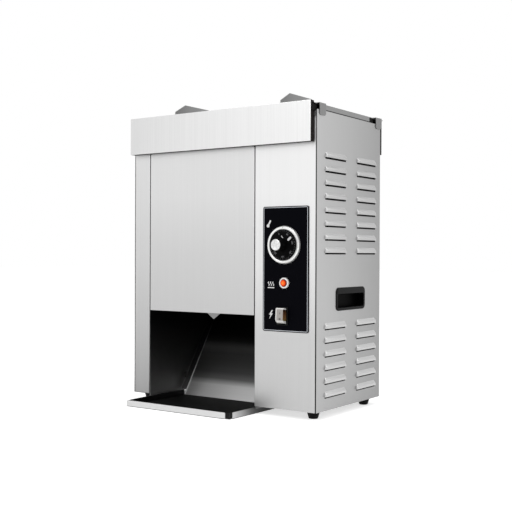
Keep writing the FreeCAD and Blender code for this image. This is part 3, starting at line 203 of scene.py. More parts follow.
def new_look(name, colour, metallic, roughness):
    look = bpy.data.materials.new(name)
    look.use_nodes = True
    shader = look.node_tree.nodes["Principled BSDF"]
    shader.inputs["Base Color"].default_value = (*colour, 1)
    shader.inputs["Metallic"].default_value = metallic
    shader.inputs["Roughness"].default_value = roughness
    return look, look.node_tree, shader


def tone_run(tree, low, high, axis, tones):
    """Grey tones spread evenly from one place to another along an axis."""
    spread = [0.0, 0.0, 0.0]
    spread["XYZ".index(axis)] = 1.0 / (high - low)
    centre = [0.0, 0.0, 0.0]
    centre["XYZ".index(axis)] = low
    place = object_place(tree, centre, spread)
    split = tree.nodes.new("ShaderNodeSeparateXYZ")
    join(tree, place, "Vector", split, "Vector")
    ramp = tree.nodes.new("ShaderNodeValToRGB")
    ramp.color_ramp.interpolation = "EASE" if len(tones) < 4 else "LINEAR"
    points = ramp.color_ramp.elements
    points[0].color = (*[tones[0]] * 3, 1)
    points[1].color = (*[tones[-1]] * 3, 1)
    for index, tone in enumerate(tones[1:-1], 1):
        point = points.new(index / (len(tones) - 1))
        point.color = (tone, tone, tone, 1)
    join(tree, split, axis, ramp, "Fac")
    return ramp


GRAIN_ALONG = 5.0
GRAIN_ACROSS = 1500.0
GRAIN_RELIEF = 0.04
GRAIN_DEPTH = 0.0002
STREAK_ALONG = 3.0
STREAK_ACROSS = 330.0
NOISE_SPAN = {"From_Min": 0.3, "From_Max": 0.7}
MIX_FIRST, MIX_SECOND, MIX_COLOUR = 6, 7, 2


def brushed_steel(name, grain, runs, roughness=0.36, rubbed=0.03, metallic=0.85, streaks=0.007):
    """Brushed sheet. grain is the axis of the lines; runs are (low, high, axis, tones)."""
    look, tree, shader = new_look(name, (0.7, 0.7, 0.7), metallic, roughness)
    stretch = [GRAIN_ALONG if axis == grain else GRAIN_ACROSS for axis in "XYZ"]
    place = object_place(tree, scale=stretch)
    lines = add_node(tree, "ShaderNodeTexNoise", Scale=1.0, Detail=3.0, Roughness=0.6)
    join(tree, place, "Vector", lines, "Vector")
    fine = add_node(tree, "ShaderNodeMapRange", **NOISE_SPAN, To_Min=1 - rubbed, To_Max=1 + rubbed)
    join(tree, lines, "Fac", fine, "Value")
    stretch = [STREAK_ALONG if axis == grain else STREAK_ACROSS for axis in "XYZ"]
    place = object_place(tree, scale=stretch)
    streak = add_node(tree, "ShaderNodeTexNoise", Scale=1.0, Detail=2.0, Roughness=0.5)
    join(tree, place, "Vector", streak, "Vector")
    broad = add_node(tree, "ShaderNodeMapRange", **NOISE_SPAN, To_Min=1 - streaks, To_Max=1 + streaks)
    join(tree, streak, "Fac", broad, "Value")
    shade = math_node(tree, "MULTIPLY", (fine, "Result"), (broad, "Result"))
    tone = None
    for run in runs:
        ramp = tone_run(tree, *run)
        if tone is None:
            tone = (ramp, "Color")
            continue
        blend = tree.nodes.new("ShaderNodeMix")
        blend.data_type = "RGBA"
        blend.blend_type = "MULTIPLY"
        blend.inputs["Factor"].default_value = 1.0
        join(tree, *tone, blend, MIX_FIRST)
        join(tree, ramp, "Color", blend, MIX_SECOND)
        tone = (blend, MIX_COLOUR)
    rub = tree.nodes.new("ShaderNodeVectorMath")
    rub.operation = "SCALE"
    join(tree, *tone, rub, 0)
    join(tree, shade, "Value", rub, "Scale")
    join(tree, rub, "Vector", shader, "Base Color")
    bump = add_node(tree, "ShaderNodeBump", Strength=GRAIN_RELIEF, Distance=GRAIN_DEPTH)
    join(tree, lines, "Fac", bump, "Height")
    join(tree, bump, "Normal", shader, "Normal")
    return look


def dress(look, *names):
    """Give CAD nodes a finish."""
    for name in names:
        data = nodes[name].data
        if data.materials:
            for index in range(len(data.materials)):
                data.materials[index] = look
        else:
            data.materials.append(look)


MM = 0.001
post_low, post_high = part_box("left_post")
panel_low, panel_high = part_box("control_panel")
cover_low, cover_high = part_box("front_cover")
POST_TONES = [0.30, 0.44, 0.57, 0.66, 0.72]
PANEL_TONES = [0.46, 0.505, 0.695, 0.785, 0.80]
COVER_TONES = [0.50, 0.575, 0.675, 0.71]
# Painted shade: a thin dark line along the post's foot.
post_foot_shade = (post_low.z + 0.6 * MM, post_low.z + 1.5 * MM, "Z", [0.3, 1.0])
# Painted shadow: the control panel darkens along its right edge, in the seam against the side panel.
panel_seam_shade = (panel_high.x - 0.9 * MM, panel_high.x - 0.5 * MM, "X", [1.0, 0.12])
post_run = (post_low.z, post_high.z, "Z", POST_TONES)
panel_run = (panel_low.z, panel_high.z, "Z", PANEL_TONES)
cover_run = (cover_low.z, cover_high.z, "Z", COVER_TONES)
dress(brushed_steel("post_steel", "Z", [post_run, post_foot_shade]), "left_post")
dress(brushed_steel("panel_steel", "Z", [panel_run, panel_seam_shade], rubbed=0.015), "control_panel")
dress(brushed_steel("cover_steel", "Z", [cover_run], rubbed=0.02), "front_cover")

# The casing's own frame: its front face, its underside and its middle. Sizes below are
# in millimetres from there.
CASING_FRONT = post_low.y
CASING_BASE = post_low.z


def at(x, y, z):
    """A place in the casing's frame."""
    return Vector((x * MM, CASING_FRONT + y * MM, CASING_BASE + z * MM))


# A face is broad when it is this many millimetres across or more.
BROAD = 2.5


def shade_faces(shape, unit, crease=40):
    """Broad faces stay flat and narrow ones are smoothed, up to a crease in degrees."""
    for face in shape.faces:
        longest = max(edge.calc_length() for edge in face.edges)
        face.smooth = face.calc_area() / longest < BROAD * unit
    for edge in shape.edges:
        if len(edge.link_faces) == 2 and edge.calc_face_angle(0) > math.radians(crease):
            edge.smooth = False


def mount(shape, name, looks, body, slot, *replaced):
    """Make a finished mesh a piece that rides on a body, in place of CAD nodes if named."""
    mesh = bpy.data.meshes.new(name)
    shape.to_mesh(mesh)
    shape.free()
    for look in looks:
        mesh.materials.append(look)
    piece = bpy.data.objects.new(name, mesh)
    scene.collection.objects.link(piece)
    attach(piece, body)
    if replaced:
        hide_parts(*replaced)
    return piece


def lay_down(shape, name, looks, body, slot, *replaced, smooth=40):
    """Finish a mesh drawn in the casing's frame in millimetres, and mount it."""
    shade_faces(shape, 1.0, smooth)
    bmesh.ops.scale(shape, vec=(MM, MM, MM), verts=shape.verts)
    bmesh.ops.translate(shape, vec=(0, CASING_FRONT, CASING_BASE), verts=shape.verts)
    return mount(shape, name, looks, body, slot, *replaced)


# Side panels: one sheet each, its front and rear edges rolled inward, with louvres
# pressed out of it in two columns and a window for the handle. Satin stainless with
# painted shade, darker towards the back, away from the light, and towards the foot.
HALF_WIDTH = 225.0
CASING_DEPTH = 253.5
CASING_HEIGHT = 560.0
SHEET = 1.2
EDGE_BEND = 2.2
LOUVRE_LENGTH = 81.0
LOUVRE_HEIGHT = 10.4
LOUVRE_RISE = 3.5
LOUVRE_CREST = 4.2
LOUVRE_SLIT = 3.0
LOUVRE_WALL = 1.0
LOUVRE_TAPER_FACE, LOUVRE_TAPER_FOOT = 1.5, 3.2
LOUVRE_ROUND = 2.5
HOLE_MARGIN_END = 1.4
HOLE_MARGIN_TOP = 3.0
BEND_STEPS = 6
LOUVRE_COLUMNS = (69.0, 192.0)
LOUVRE_PITCH = 25.5
LOUVRE_LEVELS = [295.7 + LOUVRE_PITCH * k for k in range(8)] + [26.2 + LOUVRE_PITCH * k for k in range(6)]
WINDOW = (74.0, 183.0, 187.75, 226.25)


def bevel(shape, edges, offset, segments):
    return bmesh.ops.bevel(shape, geom=edges, offset=offset, offset_type="OFFSET", segments=segments,
                           profile=0.5, affect="EDGES", material=-1, clamp_overlap=True)


def solid_box(shape, x0, x1, y0, y1, z0, z1):
    """A block between six places; its corners are returned."""
    made = bmesh.ops.create_cube(shape, size=1.0)["verts"]
    bmesh.ops.scale(shape, vec=(x1 - x0, y1 - y0, z1 - z0), verts=made)
    bmesh.ops.translate(shape, vec=((x0 + x1) / 2, (y0 + y1) / 2, (z0 + z1) / 2), verts=made)
    return made


def louvre_mesh():
    """One pressed hood: a wedge with tapered ends and rounded shoulders, open below."""
    shape = bmesh.new()
    half = LOUVRE_LENGTH / 2
    solid_box(shape, 0, LOUVRE_RISE, -half, half, 0, LOUVRE_HEIGHT)
    for vert in shape.verts:
        raised, upper = vert.co.x > LOUVRE_RISE / 2, vert.co.z > LOUVRE_HEIGHT / 2
        if upper:
            vert.co.y -= math.copysign(LOUVRE_TAPER_FACE if raised else LOUVRE_TAPER_FOOT, vert.co.y)
        if raised and upper:
            vert.co.z = LOUVRE_CREST + 1.0
    shoulders = [e for e in shape.edges if all(v.co.x > LOUVRE_RISE / 2 for v in e.verts)
                 and min(v.co.z for v in e.verts) > 1]
    shoulders += [e for e in shape.edges if abs(e.verts[0].co.z - e.verts[1].co.z) > 2
                  and not all(v.co.x < 0.1 for v in e.verts)]
    bevel(shape, list(set(shoulders)), LOUVRE_ROUND, 4)
    open_sides = [f for f in shape.faces if f.normal.z < -0.95 or f.normal.x < -0.95]
    bmesh.ops.delete(shape, geom=open_sides, context="FACES")
    bmesh.ops.solidify(shape, geom=shape.faces[:], thickness=LOUVRE_WALL)
    mesh = bpy.data.meshes.new("louvre")
    shape.to_mesh(mesh)
    shape.free()
    return mesh


def cut_lines(shape, axis, places):
    """Score a flat sheet across at each place."""
    for place in places:
        spot, normal = [0, 0, 0], [0, 0, 0]
        spot[axis], normal[axis] = place, 1
        bmesh.ops.bisect_plane(shape, geom=shape.verts[:] + shape.edges[:] + shape.faces[:],
                               dist=1e-5, plane_co=spot, plane_no=normal)


def side_panel(name, side, looks):
    """The right panel, mirrored for the left."""
    shape = bmesh.new()
    made = bmesh.ops.create_grid(shape, x_segments=1, y_segments=1, size=0.5)["verts"]
    bmesh.ops.rotate(shape, verts=made, cent=(0, 0, 0), matrix=Matrix.Rotation(math.pi / 2, 3, "Y"))
    bmesh.ops.scale(shape, vec=(1, CASING_DEPTH - EDGE_BEND * 2, CASING_HEIGHT), verts=made)
    bmesh.ops.translate(shape, vec=(HALF_WIDTH, CASING_DEPTH / 2, CASING_HEIGHT / 2), verts=made)
    half = LOUVRE_LENGTH / 2 - HOLE_MARGIN_END
    holes = [(y - half, y + half, z - LOUVRE_SLIT, z + LOUVRE_HEIGHT - HOLE_MARGIN_TOP)
             for y in LOUVRE_COLUMNS for z in LOUVRE_LEVELS]
    holes.append(WINDOW)
    cut_lines(shape, 1, sorted({h[0] for h in holes} | {h[1] for h in holes}))
    cut_lines(shape, 2, sorted({h[2] for h in holes} | {h[3] for h in holes}))
    inside = [f for f in shape.faces if any(
        h[0] < f.calc_center_median().y < h[1] and h[2] < f.calc_center_median().z < h[3] for h in holes)]
    bmesh.ops.delete(shape, geom=inside, context="FACES")
    for y, turn in ((EDGE_BEND, -1), (CASING_DEPTH - EDGE_BEND, 1)):
        rim = [e for e in shape.edges if all(abs(v.co.y - y) < 1e-3 for v in e.verts)]
        rim_verts = list({v for e in rim for v in e.verts})
        bmesh.ops.spin(shape, geom=rim_verts + rim, cent=(HALF_WIDTH - EDGE_BEND, y, 0), axis=(0, 0, 1),
                       angle=turn * math.pi / 2, steps=BEND_STEPS, use_merge=False)
    bmesh.ops.remove_doubles(shape, verts=shape.verts[:], dist=1e-4)
    bmesh.ops.recalc_face_normals(shape, faces=shape.faces[:])
    middle = max(shape.faces, key=lambda f: f.calc_area())
    if middle.normal.x < 0:
        bmesh.ops.reverse_faces(shape, faces=shape.faces[:])
    bmesh.ops.solidify(shape, geom=shape.faces[:], thickness=SHEET)
    for face in shape.faces:
        # The rolled edges' end faces take the painted seam shadow.
        if abs(face.normal.y) > 0.75 and face.calc_center_median().x > HALF_WIDTH - EDGE_BEND - 0.5:
            face.material_index = 2
    plain_faces = len(shape.faces)
    hood = louvre_mesh()
    for y in LOUVRE_COLUMNS:
        for z in LOUVRE_LEVELS:
            before = len(shape.verts)
            shape.from_mesh(hood)
            shape.verts.ensure_lookup_table()
            bmesh.ops.translate(shape, vec=(HALF_WIDTH, y, z), verts=shape.verts[before:])
    shape.faces.ensure_lookup_table()
    for face in shape.faces[plain_faces:]:
        face.material_index = 1
    bpy.data.meshes.remove(hood)
    if side < 0:
        bmesh.ops.scale(shape, vec=(-1, 1, 1), verts=shape.verts)
        bmesh.ops.reverse_faces(shape, faces=shape.faces[:])
    return lay_down(shape, name, looks, "casing", "side_steel", f"{name}_panel")


# Painted shade: the side sheet darkens towards the back and towards the foot.
SIDE_TONES = [0.51, 0.475, 0.435, 0.39, 0.345]
SIDE_FOOT_SHADE = [0.76, 0.82, 0.93, 0.99, 1.0, 1.0]
# Painted highlight: the louvre hoods are a brighter copy of the side steel, standing in for light from above
# on them, a little darker high up.
LOUVRE_HIGHLIGHT_TONES = [0.585, 0.565, 0.55]
LOUVRE_SHADE_FALL = [0.98, 1.0, 1.0, 0.95, 0.90, 0.88]
across_side = (at(0, 0, 0).y, at(0, CASING_DEPTH, 0).y, "Y")
down_side = (at(0, 0, 0).z, at(0, 0, CASING_HEIGHT).z, "Z", SIDE_FOOT_SHADE)
side_steel = brushed_steel("side_steel", "Z", [(*across_side, SIDE_TONES), down_side], rubbed=0.008)
down_louvres = (*down_side[:3], LOUVRE_SHADE_FALL)
across_louvres = (*across_side, LOUVRE_HIGHLIGHT_TONES)
louvre_highlight_steel = brushed_steel("louvre_highlight_steel", "Y", [across_louvres, down_louvres], 0.42, 0.008, 0.7)
# Painted shadow in the seams: the rolled edges' end faces are a near-black copy of the steel, darkest low
# down.
painted_seam_run = (post_low.z, post_high.z, "Z", [0.004, 0.03, 0.09])
seam_shadow = brushed_steel("seam_shadow", "Z", [painted_seam_run], 0.6, 0.02)
side_panel("right_side", 1, (side_steel, louvre_highlight_steel, seam_shadow))
side_panel("left_side", -1, (side_steel, louvre_highlight_steel, seam_shadow))


# Handles: black moulded cups let into the side panels from outside, with a rounded rim
# and a hood over the upper edge that fingers hook under.
def plain(name, colour, metallic=0.0, roughness=0.5, speckle=0.0, coat=0.0, specular=0.5, fine=1200):
    """A moulded, cast or painted finish with a fine grain in its surface."""
    look, tree, shader = new_look(name, colour, metallic, roughness)
    shader.inputs["Coat Weight"].default_value = coat
    shader.inputs["Specular IOR Level"].default_value = specular
    place = object_place(tree, scale=(fine, fine, fine))
    noise = add_node(tree, "ShaderNodeTexNoise", Scale=1.0, Detail=2.0)
    join(tree, place, "Vector", noise, "Vector")
    shade = add_node(tree, "ShaderNodeMapRange", **NOISE_SPAN, To_Min=0.9, To_Max=1.1)
    join(tree, noise, "Fac", shade, "Value")
    tint = tree.nodes.new("ShaderNodeVectorMath")
    tint.operation = "SCALE"
    tint.inputs[0].default_value = colour
    join(tree, shade, "Result", tint, "Scale")
    join(tree, tint, "Vector", shader, "Base Color")
    bump = add_node(tree, "ShaderNodeBump", Strength=max(speckle, 0.02), Distance=0.0003)
    join(tree, noise, "Fac", bump, "Height")
    join(tree, bump, "Normal", shader, "Normal")
    return look


HANDLE = (71.0, 186.0, 184.75, 229.25)
HANDLE_RIM = 1.5
HANDLE_SIDE = 5.3
HANDLE_HOOD = 12.0
HANDLE_DEPTH = 18.0
HANDLE_WALL = 1.6
HANDLE_LIP = 3.6
HANDLE_CORNER = 9.0
HANDLE_EDGE = 1.0
HANDLE_BEAD = 0.6


def handle_cup(name, side):
    """A flange outside the sheet, a walled cup behind it and a hollow in front."""
    y0, y1, z0, z1 = HANDLE
    shape = bmesh.new()
    solid_box(shape, HALF_WIDTH + 0.05, HALF_WIDTH + HANDLE_RIM, y0, y1, z0, z1)
    posts = [e for e in shape.edges if abs(e.verts[0].co.x - e.verts[1].co.x) > 1]
    bevel(shape, posts, HANDLE_CORNER, 6)
    back = min(shape.faces, key=lambda f: f.calc_center_median().x)
    bmesh.ops.inset_region(shape, faces=[back], thickness=HANDLE_LIP, depth=0)
    bmesh.ops.inset_region(shape, faces=[back], thickness=0.01, depth=HANDLE_DEPTH)
    crown = max(shape.faces, key=lambda f: f.calc_center_median().x)
    bevel(shape, list(crown.edges), HANDLE_EDGE, 3)
    crown = max(shape.faces, key=lambda f: (round(f.calc_center_median().x, 4), f.calc_area()))
    bmesh.ops.inset_region(shape, faces=[crown], thickness=HANDLE_SIDE - HANDLE_EDGE, depth=0)
    for vert in crown.verts:
        if vert.co.z > (z0 + z1) / 2:
            vert.co.z -= HANDLE_HOOD - HANDLE_SIDE
    bmesh.ops.inset_region(shape, faces=[crown], thickness=0.5, depth=-HANDLE_BEAD)
    before = set(shape.faces)
    bmesh.ops.inset_region(shape, faces=[crown], thickness=0.3, depth=-(HANDLE_DEPTH - HANDLE_WALL))
    for face in [f for f in shape.faces if f not in before] + [crown]:
        face.material_index = 1
    if side < 0:
        bmesh.ops.scale(shape, vec=(-1, 1, 1), verts=shape.verts)
        bmesh.ops.reverse_faces(shape, faces=shape.faces[:])
    return lay_down(shape, name, (handle_black, handle_hollow_shade), "casing", "handle_plastic",
                    f"{name}_pocket", smooth=50)


handle_black = plain("handle_black", (0.0035, 0.0035, 0.0038), 0, 0.36, 0.05, 0.0, 0.06)
# Painted shade: the cup's hollow is a deeper, duller black than its rim.
handle_hollow_shade = plain("handle_hollow_shade", (0.001, 0.001, 0.001), 0, 0.5, 0.02, 0.0, 0.03)
handle_cup("right_handle", 1)
handle_cup("left_handle", -1)


# Feet: four black rubber feet, turned with a taper down to the sole, standing under the
# corners of the base pan.
FOOT_PLACES = [(x, y) for x in (-202.5, 202.5) for y in (27.5, 226.0)]
FOOT_PROFILE = [(0, -15.0), (8.0, -15.0), (9.0, -14.2), (12.6, -1.6), (12.8, -0.1), (0, -0.1)]
TURNED_STEPS = 40


def turn_profile(shape, profile, centre, axis, steps=TURNED_STEPS):
    """Spin (radius, height) points about an axis through a centre: Z, or -Y for a dial."""
    across = Vector((1, 0, 0))
    along = Vector((0, 0, 1)) if axis == "Z" else Vector((0, 1, 0))
    verts = [shape.verts.new(Vector(centre) + across * r + along * h) for r, h in profile]
    edges = [shape.edges.new(pair) for pair in zip(verts, verts[1:])]
    before = set(shape.faces)
    bmesh.ops.spin(shape, geom=verts + edges, cent=centre, axis=along, angle=2 * math.pi,
                   steps=steps, use_merge=True)
    bmesh.ops.remove_doubles(shape, verts=shape.verts[:], dist=1e-4)
    made = [f for f in shape.faces if f not in before]
    bmesh.ops.recalc_face_normals(shape, faces=made)
    return made


shape = bmesh.new()
for x, y in FOOT_PLACES:
    turn_profile(shape, FOOT_PROFILE, (x, y, 0), "Z", 32)
foot_black = plain("rubber_black", (0.004, 0.004, 0.004), 0, 0.6, 0.10, 0, 0.10)
lay_down(shape, "rubber_feet", (foot_black,), "casing", "foot_rubber", "feet")


# Rear panel and top plate: plain satin sheets, with round-headed screws along the rear
# panel's edges and a moulded strain relief near its foot.
# Painted shade: the rear panel and top plate are darker towards the foot.
REAR_TONES = [0.42, 0.5]
rear_run = (at(0, 0, 0).z, at(0, 0, CASING_HEIGHT).z, "Z", REAR_TONES)
dress(brushed_steel("rear_steel", "Z", [rear_run], rubbed=0.02), "rear_panel", "top_plate")
SCREW_SPOTS = [(x, z) for x in (-212, 212) for z in (20, 190, 360, 530)]
SCREW_HEAD = [(0, 2.0), (1.6, 1.9), (3.0, 1.2), (3.6, 0.1), (3.6, 0.02)]
CROSS_LONG, CROSS_NARROW, CROSS_BACK, CROSS_FACE = 2.0, 0.45, 1.7, 2.05


def screw_heads(name, spots, y, body, slot, look):
    shape = bmesh.new()
    for x, z in spots:
        turn_profile(shape, SCREW_HEAD, (x, y, z), "Y", 20)
        for long_x, long_z in ((CROSS_LONG, CROSS_NARROW), (CROSS_NARROW, CROSS_LONG)):
            solid_box(shape, x - long_x, x + long_x, y + CROSS_BACK, y + CROSS_FACE, z - long_z, z + long_z)
    return lay_down(shape, name, (look,), body, slot)


screw_steel = plain("screw_steel", (0.5, 0.5, 0.5), 0.9, 0.3, 0.05)
screw_heads("rear_screws", SCREW_SPOTS, CASING_DEPTH, "casing", "rear_steel", screw_steel)


SHARP_DEGREES = 25


def softened(name, node, looks, body, slot, radius, segments=2):
    """A copy of a node with its sharp edges broken."""
    shape = bmesh.new()
    shape.from_mesh(nodes[node].data)
    bmesh.ops.remove_doubles(shape, verts=shape.verts[:], dist=1e-6)
    bmesh.ops.dissolve_limit(shape, angle_limit=math.radians(1), verts=shape.verts[:], edges=shape.edges[:])
    sharp = [e for e in shape.edges
             if len(e.link_faces) == 2 and e.calc_face_angle(0) > math.radians(SHARP_DEGREES)]
    bevel(shape, sharp, radius * MM, segments)
    shade_faces(shape, MM)
    return mount(shape, name, looks, body, slot, node)


gland_black = plain("gland_black", (0.010, 0.010, 0.010), 0, 0.45, 0.1)
softened("strain_relief", "cable_gland", (gland_black,), "casing", "gland_plastic", 1.0)


# Chamber: base pan, inner walls, guard, crossbar and hangers in stainless with painted
# shade, darkest high up, and the folded chute with a painted reflection, brightest near its mouth.
WALL_SHADE_TONES = [0.22, 0.10, 0.045, 0.012, 0.004]
GUARD_TONES = [0.28, 0.28]
CHUTE_REFLECTION_TONES = [0.46, 0.47, 0.50, 0.14, 0.08, 0.078, 0.085, 0.12, 0.22, 0.05, 0.012, 0.008, 0.006, 0.005,
               0.004, 0.004, 0.004]
FLANGE_SHADE_TONES = [0.10, 0.05, 0.02, 0.008, 0.004]
# Painted shade: walls, pan, hangers and bracket darken the higher they stand.
wall_run = (at(0, 0, -6).z, at(0, 0, 200).z, "Z", WALL_SHADE_TONES)
guard_run = (at(0, 0, 150).z, at(0, 0, 175).z, "Z", GUARD_TONES)
dress(brushed_steel("inner_steel", "Z", [wall_run], 0.5, 0.05), "left_inner_wall", "right_inner_wall",
      "base_pan", "platen_hangers", "motor_bracket")
dress(brushed_steel("guard_steel", "Z", [guard_run]), "front_guard", "front_crossbar")
# Painted reflection on the chute: bright near its mouth, a second bright band partway up, black above; its
# flanges and brackets take painted shade, darkest high up.
chute_run = (at(0, 0, -13.7).z, at(0, 0, 189).z, "Z", CHUTE_REFLECTION_TONES)
chute_steel = brushed_steel("chute_steel", "X", [chute_run], 0.42, 0.05)
flange_steel = brushed_steel("flange_steel", "Z", [(*chute_run[:3], FLANGE_SHADE_TONES)], 0.5, 0.05)
# The chute's own sloping faces are larger than this, in square metres.
CHUTE_FACE = 0.005
chute_plate = softened("chute_plate", "chute", (chute_steel, flange_steel), "casing", "chute_steel", 0.15)
for polygon in chute_plate.data.polygons:
    polygon.material_index = 0 if polygon.area > CHUTE_FACE and abs(polygon.normal.x) < 0.1 else 1
dress(flange_steel, "chute_brackets")

# A painted highlight: a thin bright strip along the fold between the chute and its left flange, from the foot
# to the head, fading out higher up.
FOLD_FOOT, FOLD_HEAD = (104.2, -12.4), (229.0, 176.8)
FOLD_LEFT, FOLD_RIGHT = -171.5, -169.3
FOLD_HALF, FOLD_EDGE = 0.8, 0.2
FOLD_RISE, FOLD_LEAN = 0.55, 0.83
shape = bmesh.new()
(y0, z0), (y1, z1) = FOLD_FOOT, FOLD_HEAD
for vert in solid_box(shape, FOLD_LEFT, FOLD_RIGHT, -FOLD_HALF, FOLD_HALF, 0, 1):
    top = vert.co.z > 0.5
    vert.co.z = (z1 if top else z0) + vert.co.y * FOLD_RISE
    vert.co.y = (y1 if top else y0) - vert.co.y * FOLD_LEAN
bmesh.ops.recalc_face_normals(shape, faces=shape.faces[:])
bevel(shape, shape.edges[:], FOLD_EDGE, 2)
FOLD_HIGHLIGHT_TONES = [0.80, 0.72, 0.60, 0.55, 0.46, 0.10, 0.008, 0.004, 0.004]
fold_highlight = brushed_steel("fold_highlight", "Z", [(*chute_run[:3], FOLD_HIGHLIGHT_TONES)], 0.4, 0.02)
lay_down(shape, "chute_fold_highlight", (fold_highlight,), "casing", "chute_steel")


# Platen: a cast slab with rod elements through it, under a thin brown release film that
# hangs over its top.
dress(plain("platen_metal", (0.4, 0.4, 0.4), 0.9, 0.4, 0.05), "platen")
dress(plain("element_steel", (0.16, 0.14, 0.12), 0.9, 0.45, 0.1), "heating_elements")
dress(plain("film_tan", (0.10, 0.06, 0.03), 0, 0.35, 0.05, 0.2), "release_sheet")


# Belts and their drive: ribbed silicone belts on steel rollers in bronze bushes, moulded
# gears on steel studs, and the painted gearmotor.
RIB_PITCH = 4.0


def ribbed(name, colour):
    """Rubber with fine cross ribs all the way round."""
    look, tree, shader = new_look(name, colour, 0, 0.6)
    place = object_place(tree, scale=(1, 1, 1 / (RIB_PITCH * MM)))
    split = tree.nodes.new("ShaderNodeSeparateXYZ")
    join(tree, place, "Vector", split, "Vector")
    # Painted shade on the ribs: the colour is lighter on each crest and darker in each groove.
    wave = math_node(tree, "PINGPONG", (split, "Z"), 0.5)
    shade = add_node(tree, "ShaderNodeMapRange", From_Min=0.0, From_Max=0.5, To_Min=0.6, To_Max=1.2)
    join(tree, wave, "Value", shade, "Value")
    tint = tree.nodes.new("ShaderNodeVectorMath")
    tint.operation = "SCALE"
    tint.inputs[0].default_value = colour
    join(tree, shade, "Result", tint, "Scale")
    join(tree, tint, "Vector", shader, "Base Color")
    bump = add_node(tree, "ShaderNodeBump", Strength=0.6, Distance=0.001)
    join(tree, wave, "Value", bump, "Height")
    join(tree, bump, "Normal", shader, "Normal")
    return look


dress(ribbed("belt_brown", (0.05, 0.035, 0.025)), "front_belt", "rear_belt")
dress(plain("turned_steel", (0.30, 0.30, 0.30), 0.9, 0.35, 0.05), "front_drive_roller", "rear_drive_roller",
      "front_idler_roller", "rear_idler_roller", "gear_studs", "thermostat_spindle")
dress(plain("bush_bronze", (0.35, 0.20, 0.07), 0.9, 0.4, 0.05), "shaft_bushes")
dress(plain("gear_white", (0.62, 0.61, 0.55), 0, 0.5, 0.05), "front_gear", "idler_gear_front",
      "idler_gear_rear", "rear_gear")
dress(plain("motor_paint", (0.03, 0.03, 0.035), 0, 0.4, 0.1), "gearmotor")
dress(plain("thermostat_case", (0.5, 0.48, 0.4), 0, 0.5, 0.05), "thermostat_body")


# Label plate: a black enamelled sheet with a bright line just inside its edge, fixed to
# the control panel, and small raised pictures for temperature, heat and power.
PLATE = (106.4, 208.4, 146.45, 382.95)
PLATE_FACE = -1.85
HOLE_KNOB = (154.9, 310.1)
HOLE_LAMP = (156.2, 238.6)
KNOB_AXIS = (HOLE_KNOB[0], 0, HOLE_KNOB[1])
LAMP_AXIS = (HOLE_LAMP[0], 0, HOLE_LAMP[1])
SWITCH_MIDDLE = (152.0, 176.0)
PLATE_CORNER = 4.0
EDGE_BORDER = 1.5
LINE_WIDTH, LINE_RISE, LINE_EASE = 1.5, 0.35, 0.3
FIELD_SINK, FIELD_EASE = 0.25, 0.6

plate_black = plain("plate_black", (0.0016, 0.0016, 0.0030), 0, 0.45, 0.02, 0, 0.02)
line_silver = plain("line_silver", (0.55, 0.57, 0.60), 0.9, 0.35, 0.02)
mark_white = plain("mark_white", (0.78, 0.78, 0.78), 0, 0.5, 0.02)
mark_grey = plain("mark_grey", (0.24, 0.24, 0.25), 0, 0.5, 0.02)


def round_plate(shape, x0, x1, z0, z1, y_back, y_face, radius, segments=6):
    """A block with rounded upright corners; its face towards the user is returned."""
    verts = solid_box(shape, x0, x1, y_face, y_back, z0, z1)
    posts = [e for e in shape.edges if all(v in verts for v in e.verts)
             and abs(e.verts[0].co.y - e.verts[1].co.y) > 0.5 * abs(y_back - y_face)]
    bevel(shape, posts, radius, segments)
    return min((f for f in shape.faces if len(f.verts) > 4), key=lambda f: f.calc_center_median().y)


shape = bmesh.new()
face = round_plate(shape, *PLATE, -0.05, PLATE_FACE + LINE_RISE, PLATE_CORNER)
bmesh.ops.inset_region(shape, faces=[face], thickness=EDGE_BORDER, depth=0)
before = set(shape.faces)
bmesh.ops.inset_region(shape, faces=[face], thickness=LINE_WIDTH, depth=0)
line = [f for f in shape.faces if f not in before]
bmesh.ops.inset_region(shape, faces=line, thickness=LINE_EASE, depth=LINE_RISE)
for f in line:
    f.material_index = 1
bmesh.ops.inset_region(shape, faces=[face], thickness=FIELD_EASE, depth=-FIELD_SINK)
lay_down(shape, "label_plate_face", (plate_black, line_silver), "casing", "plate_black", "label_plate")


def verts_of(made):
    """The corners among what an extrusion has made."""
    return [part for part in made if isinstance(part, bmesh.types.BMVert)]


def flat_mark(shape, points, y_back, rise):
    """A small raised figure from its outline."""
    verts = [shape.verts.new((x, y_back, z)) for x, z in points]
    face = shape.faces.new(verts)
    if face.normal.y > 0:
        bmesh.ops.reverse_faces(shape, faces=[face])
    made = bmesh.ops.extrude_face_region(shape, geom=[face])["geom"]
    bmesh.ops.translate(shape, vec=(0, -rise, 0), verts=verts_of(made))
    bmesh.ops.recalc_face_normals(shape, faces=shape.faces[:])


MARK_BACK = PLATE_FACE + 0.62
MARK_RISE = 0.12


def capsule(x0, z0, x1, z1, half, steps=5):
    """The outline of a stroke with round ends."""
    along = math.atan2(z1 - z0, x1 - x0)
    points = []
    for (x, z), start in (((x1, z1), along - math.pi / 2), ((x0, z0), along + math.pi / 2)):
        turns = [start + math.pi * k / steps for k in range(steps + 1)]
        points += [(x + half * math.cos(turn), z + half * math.sin(turn)) for turn in turns]
    return points


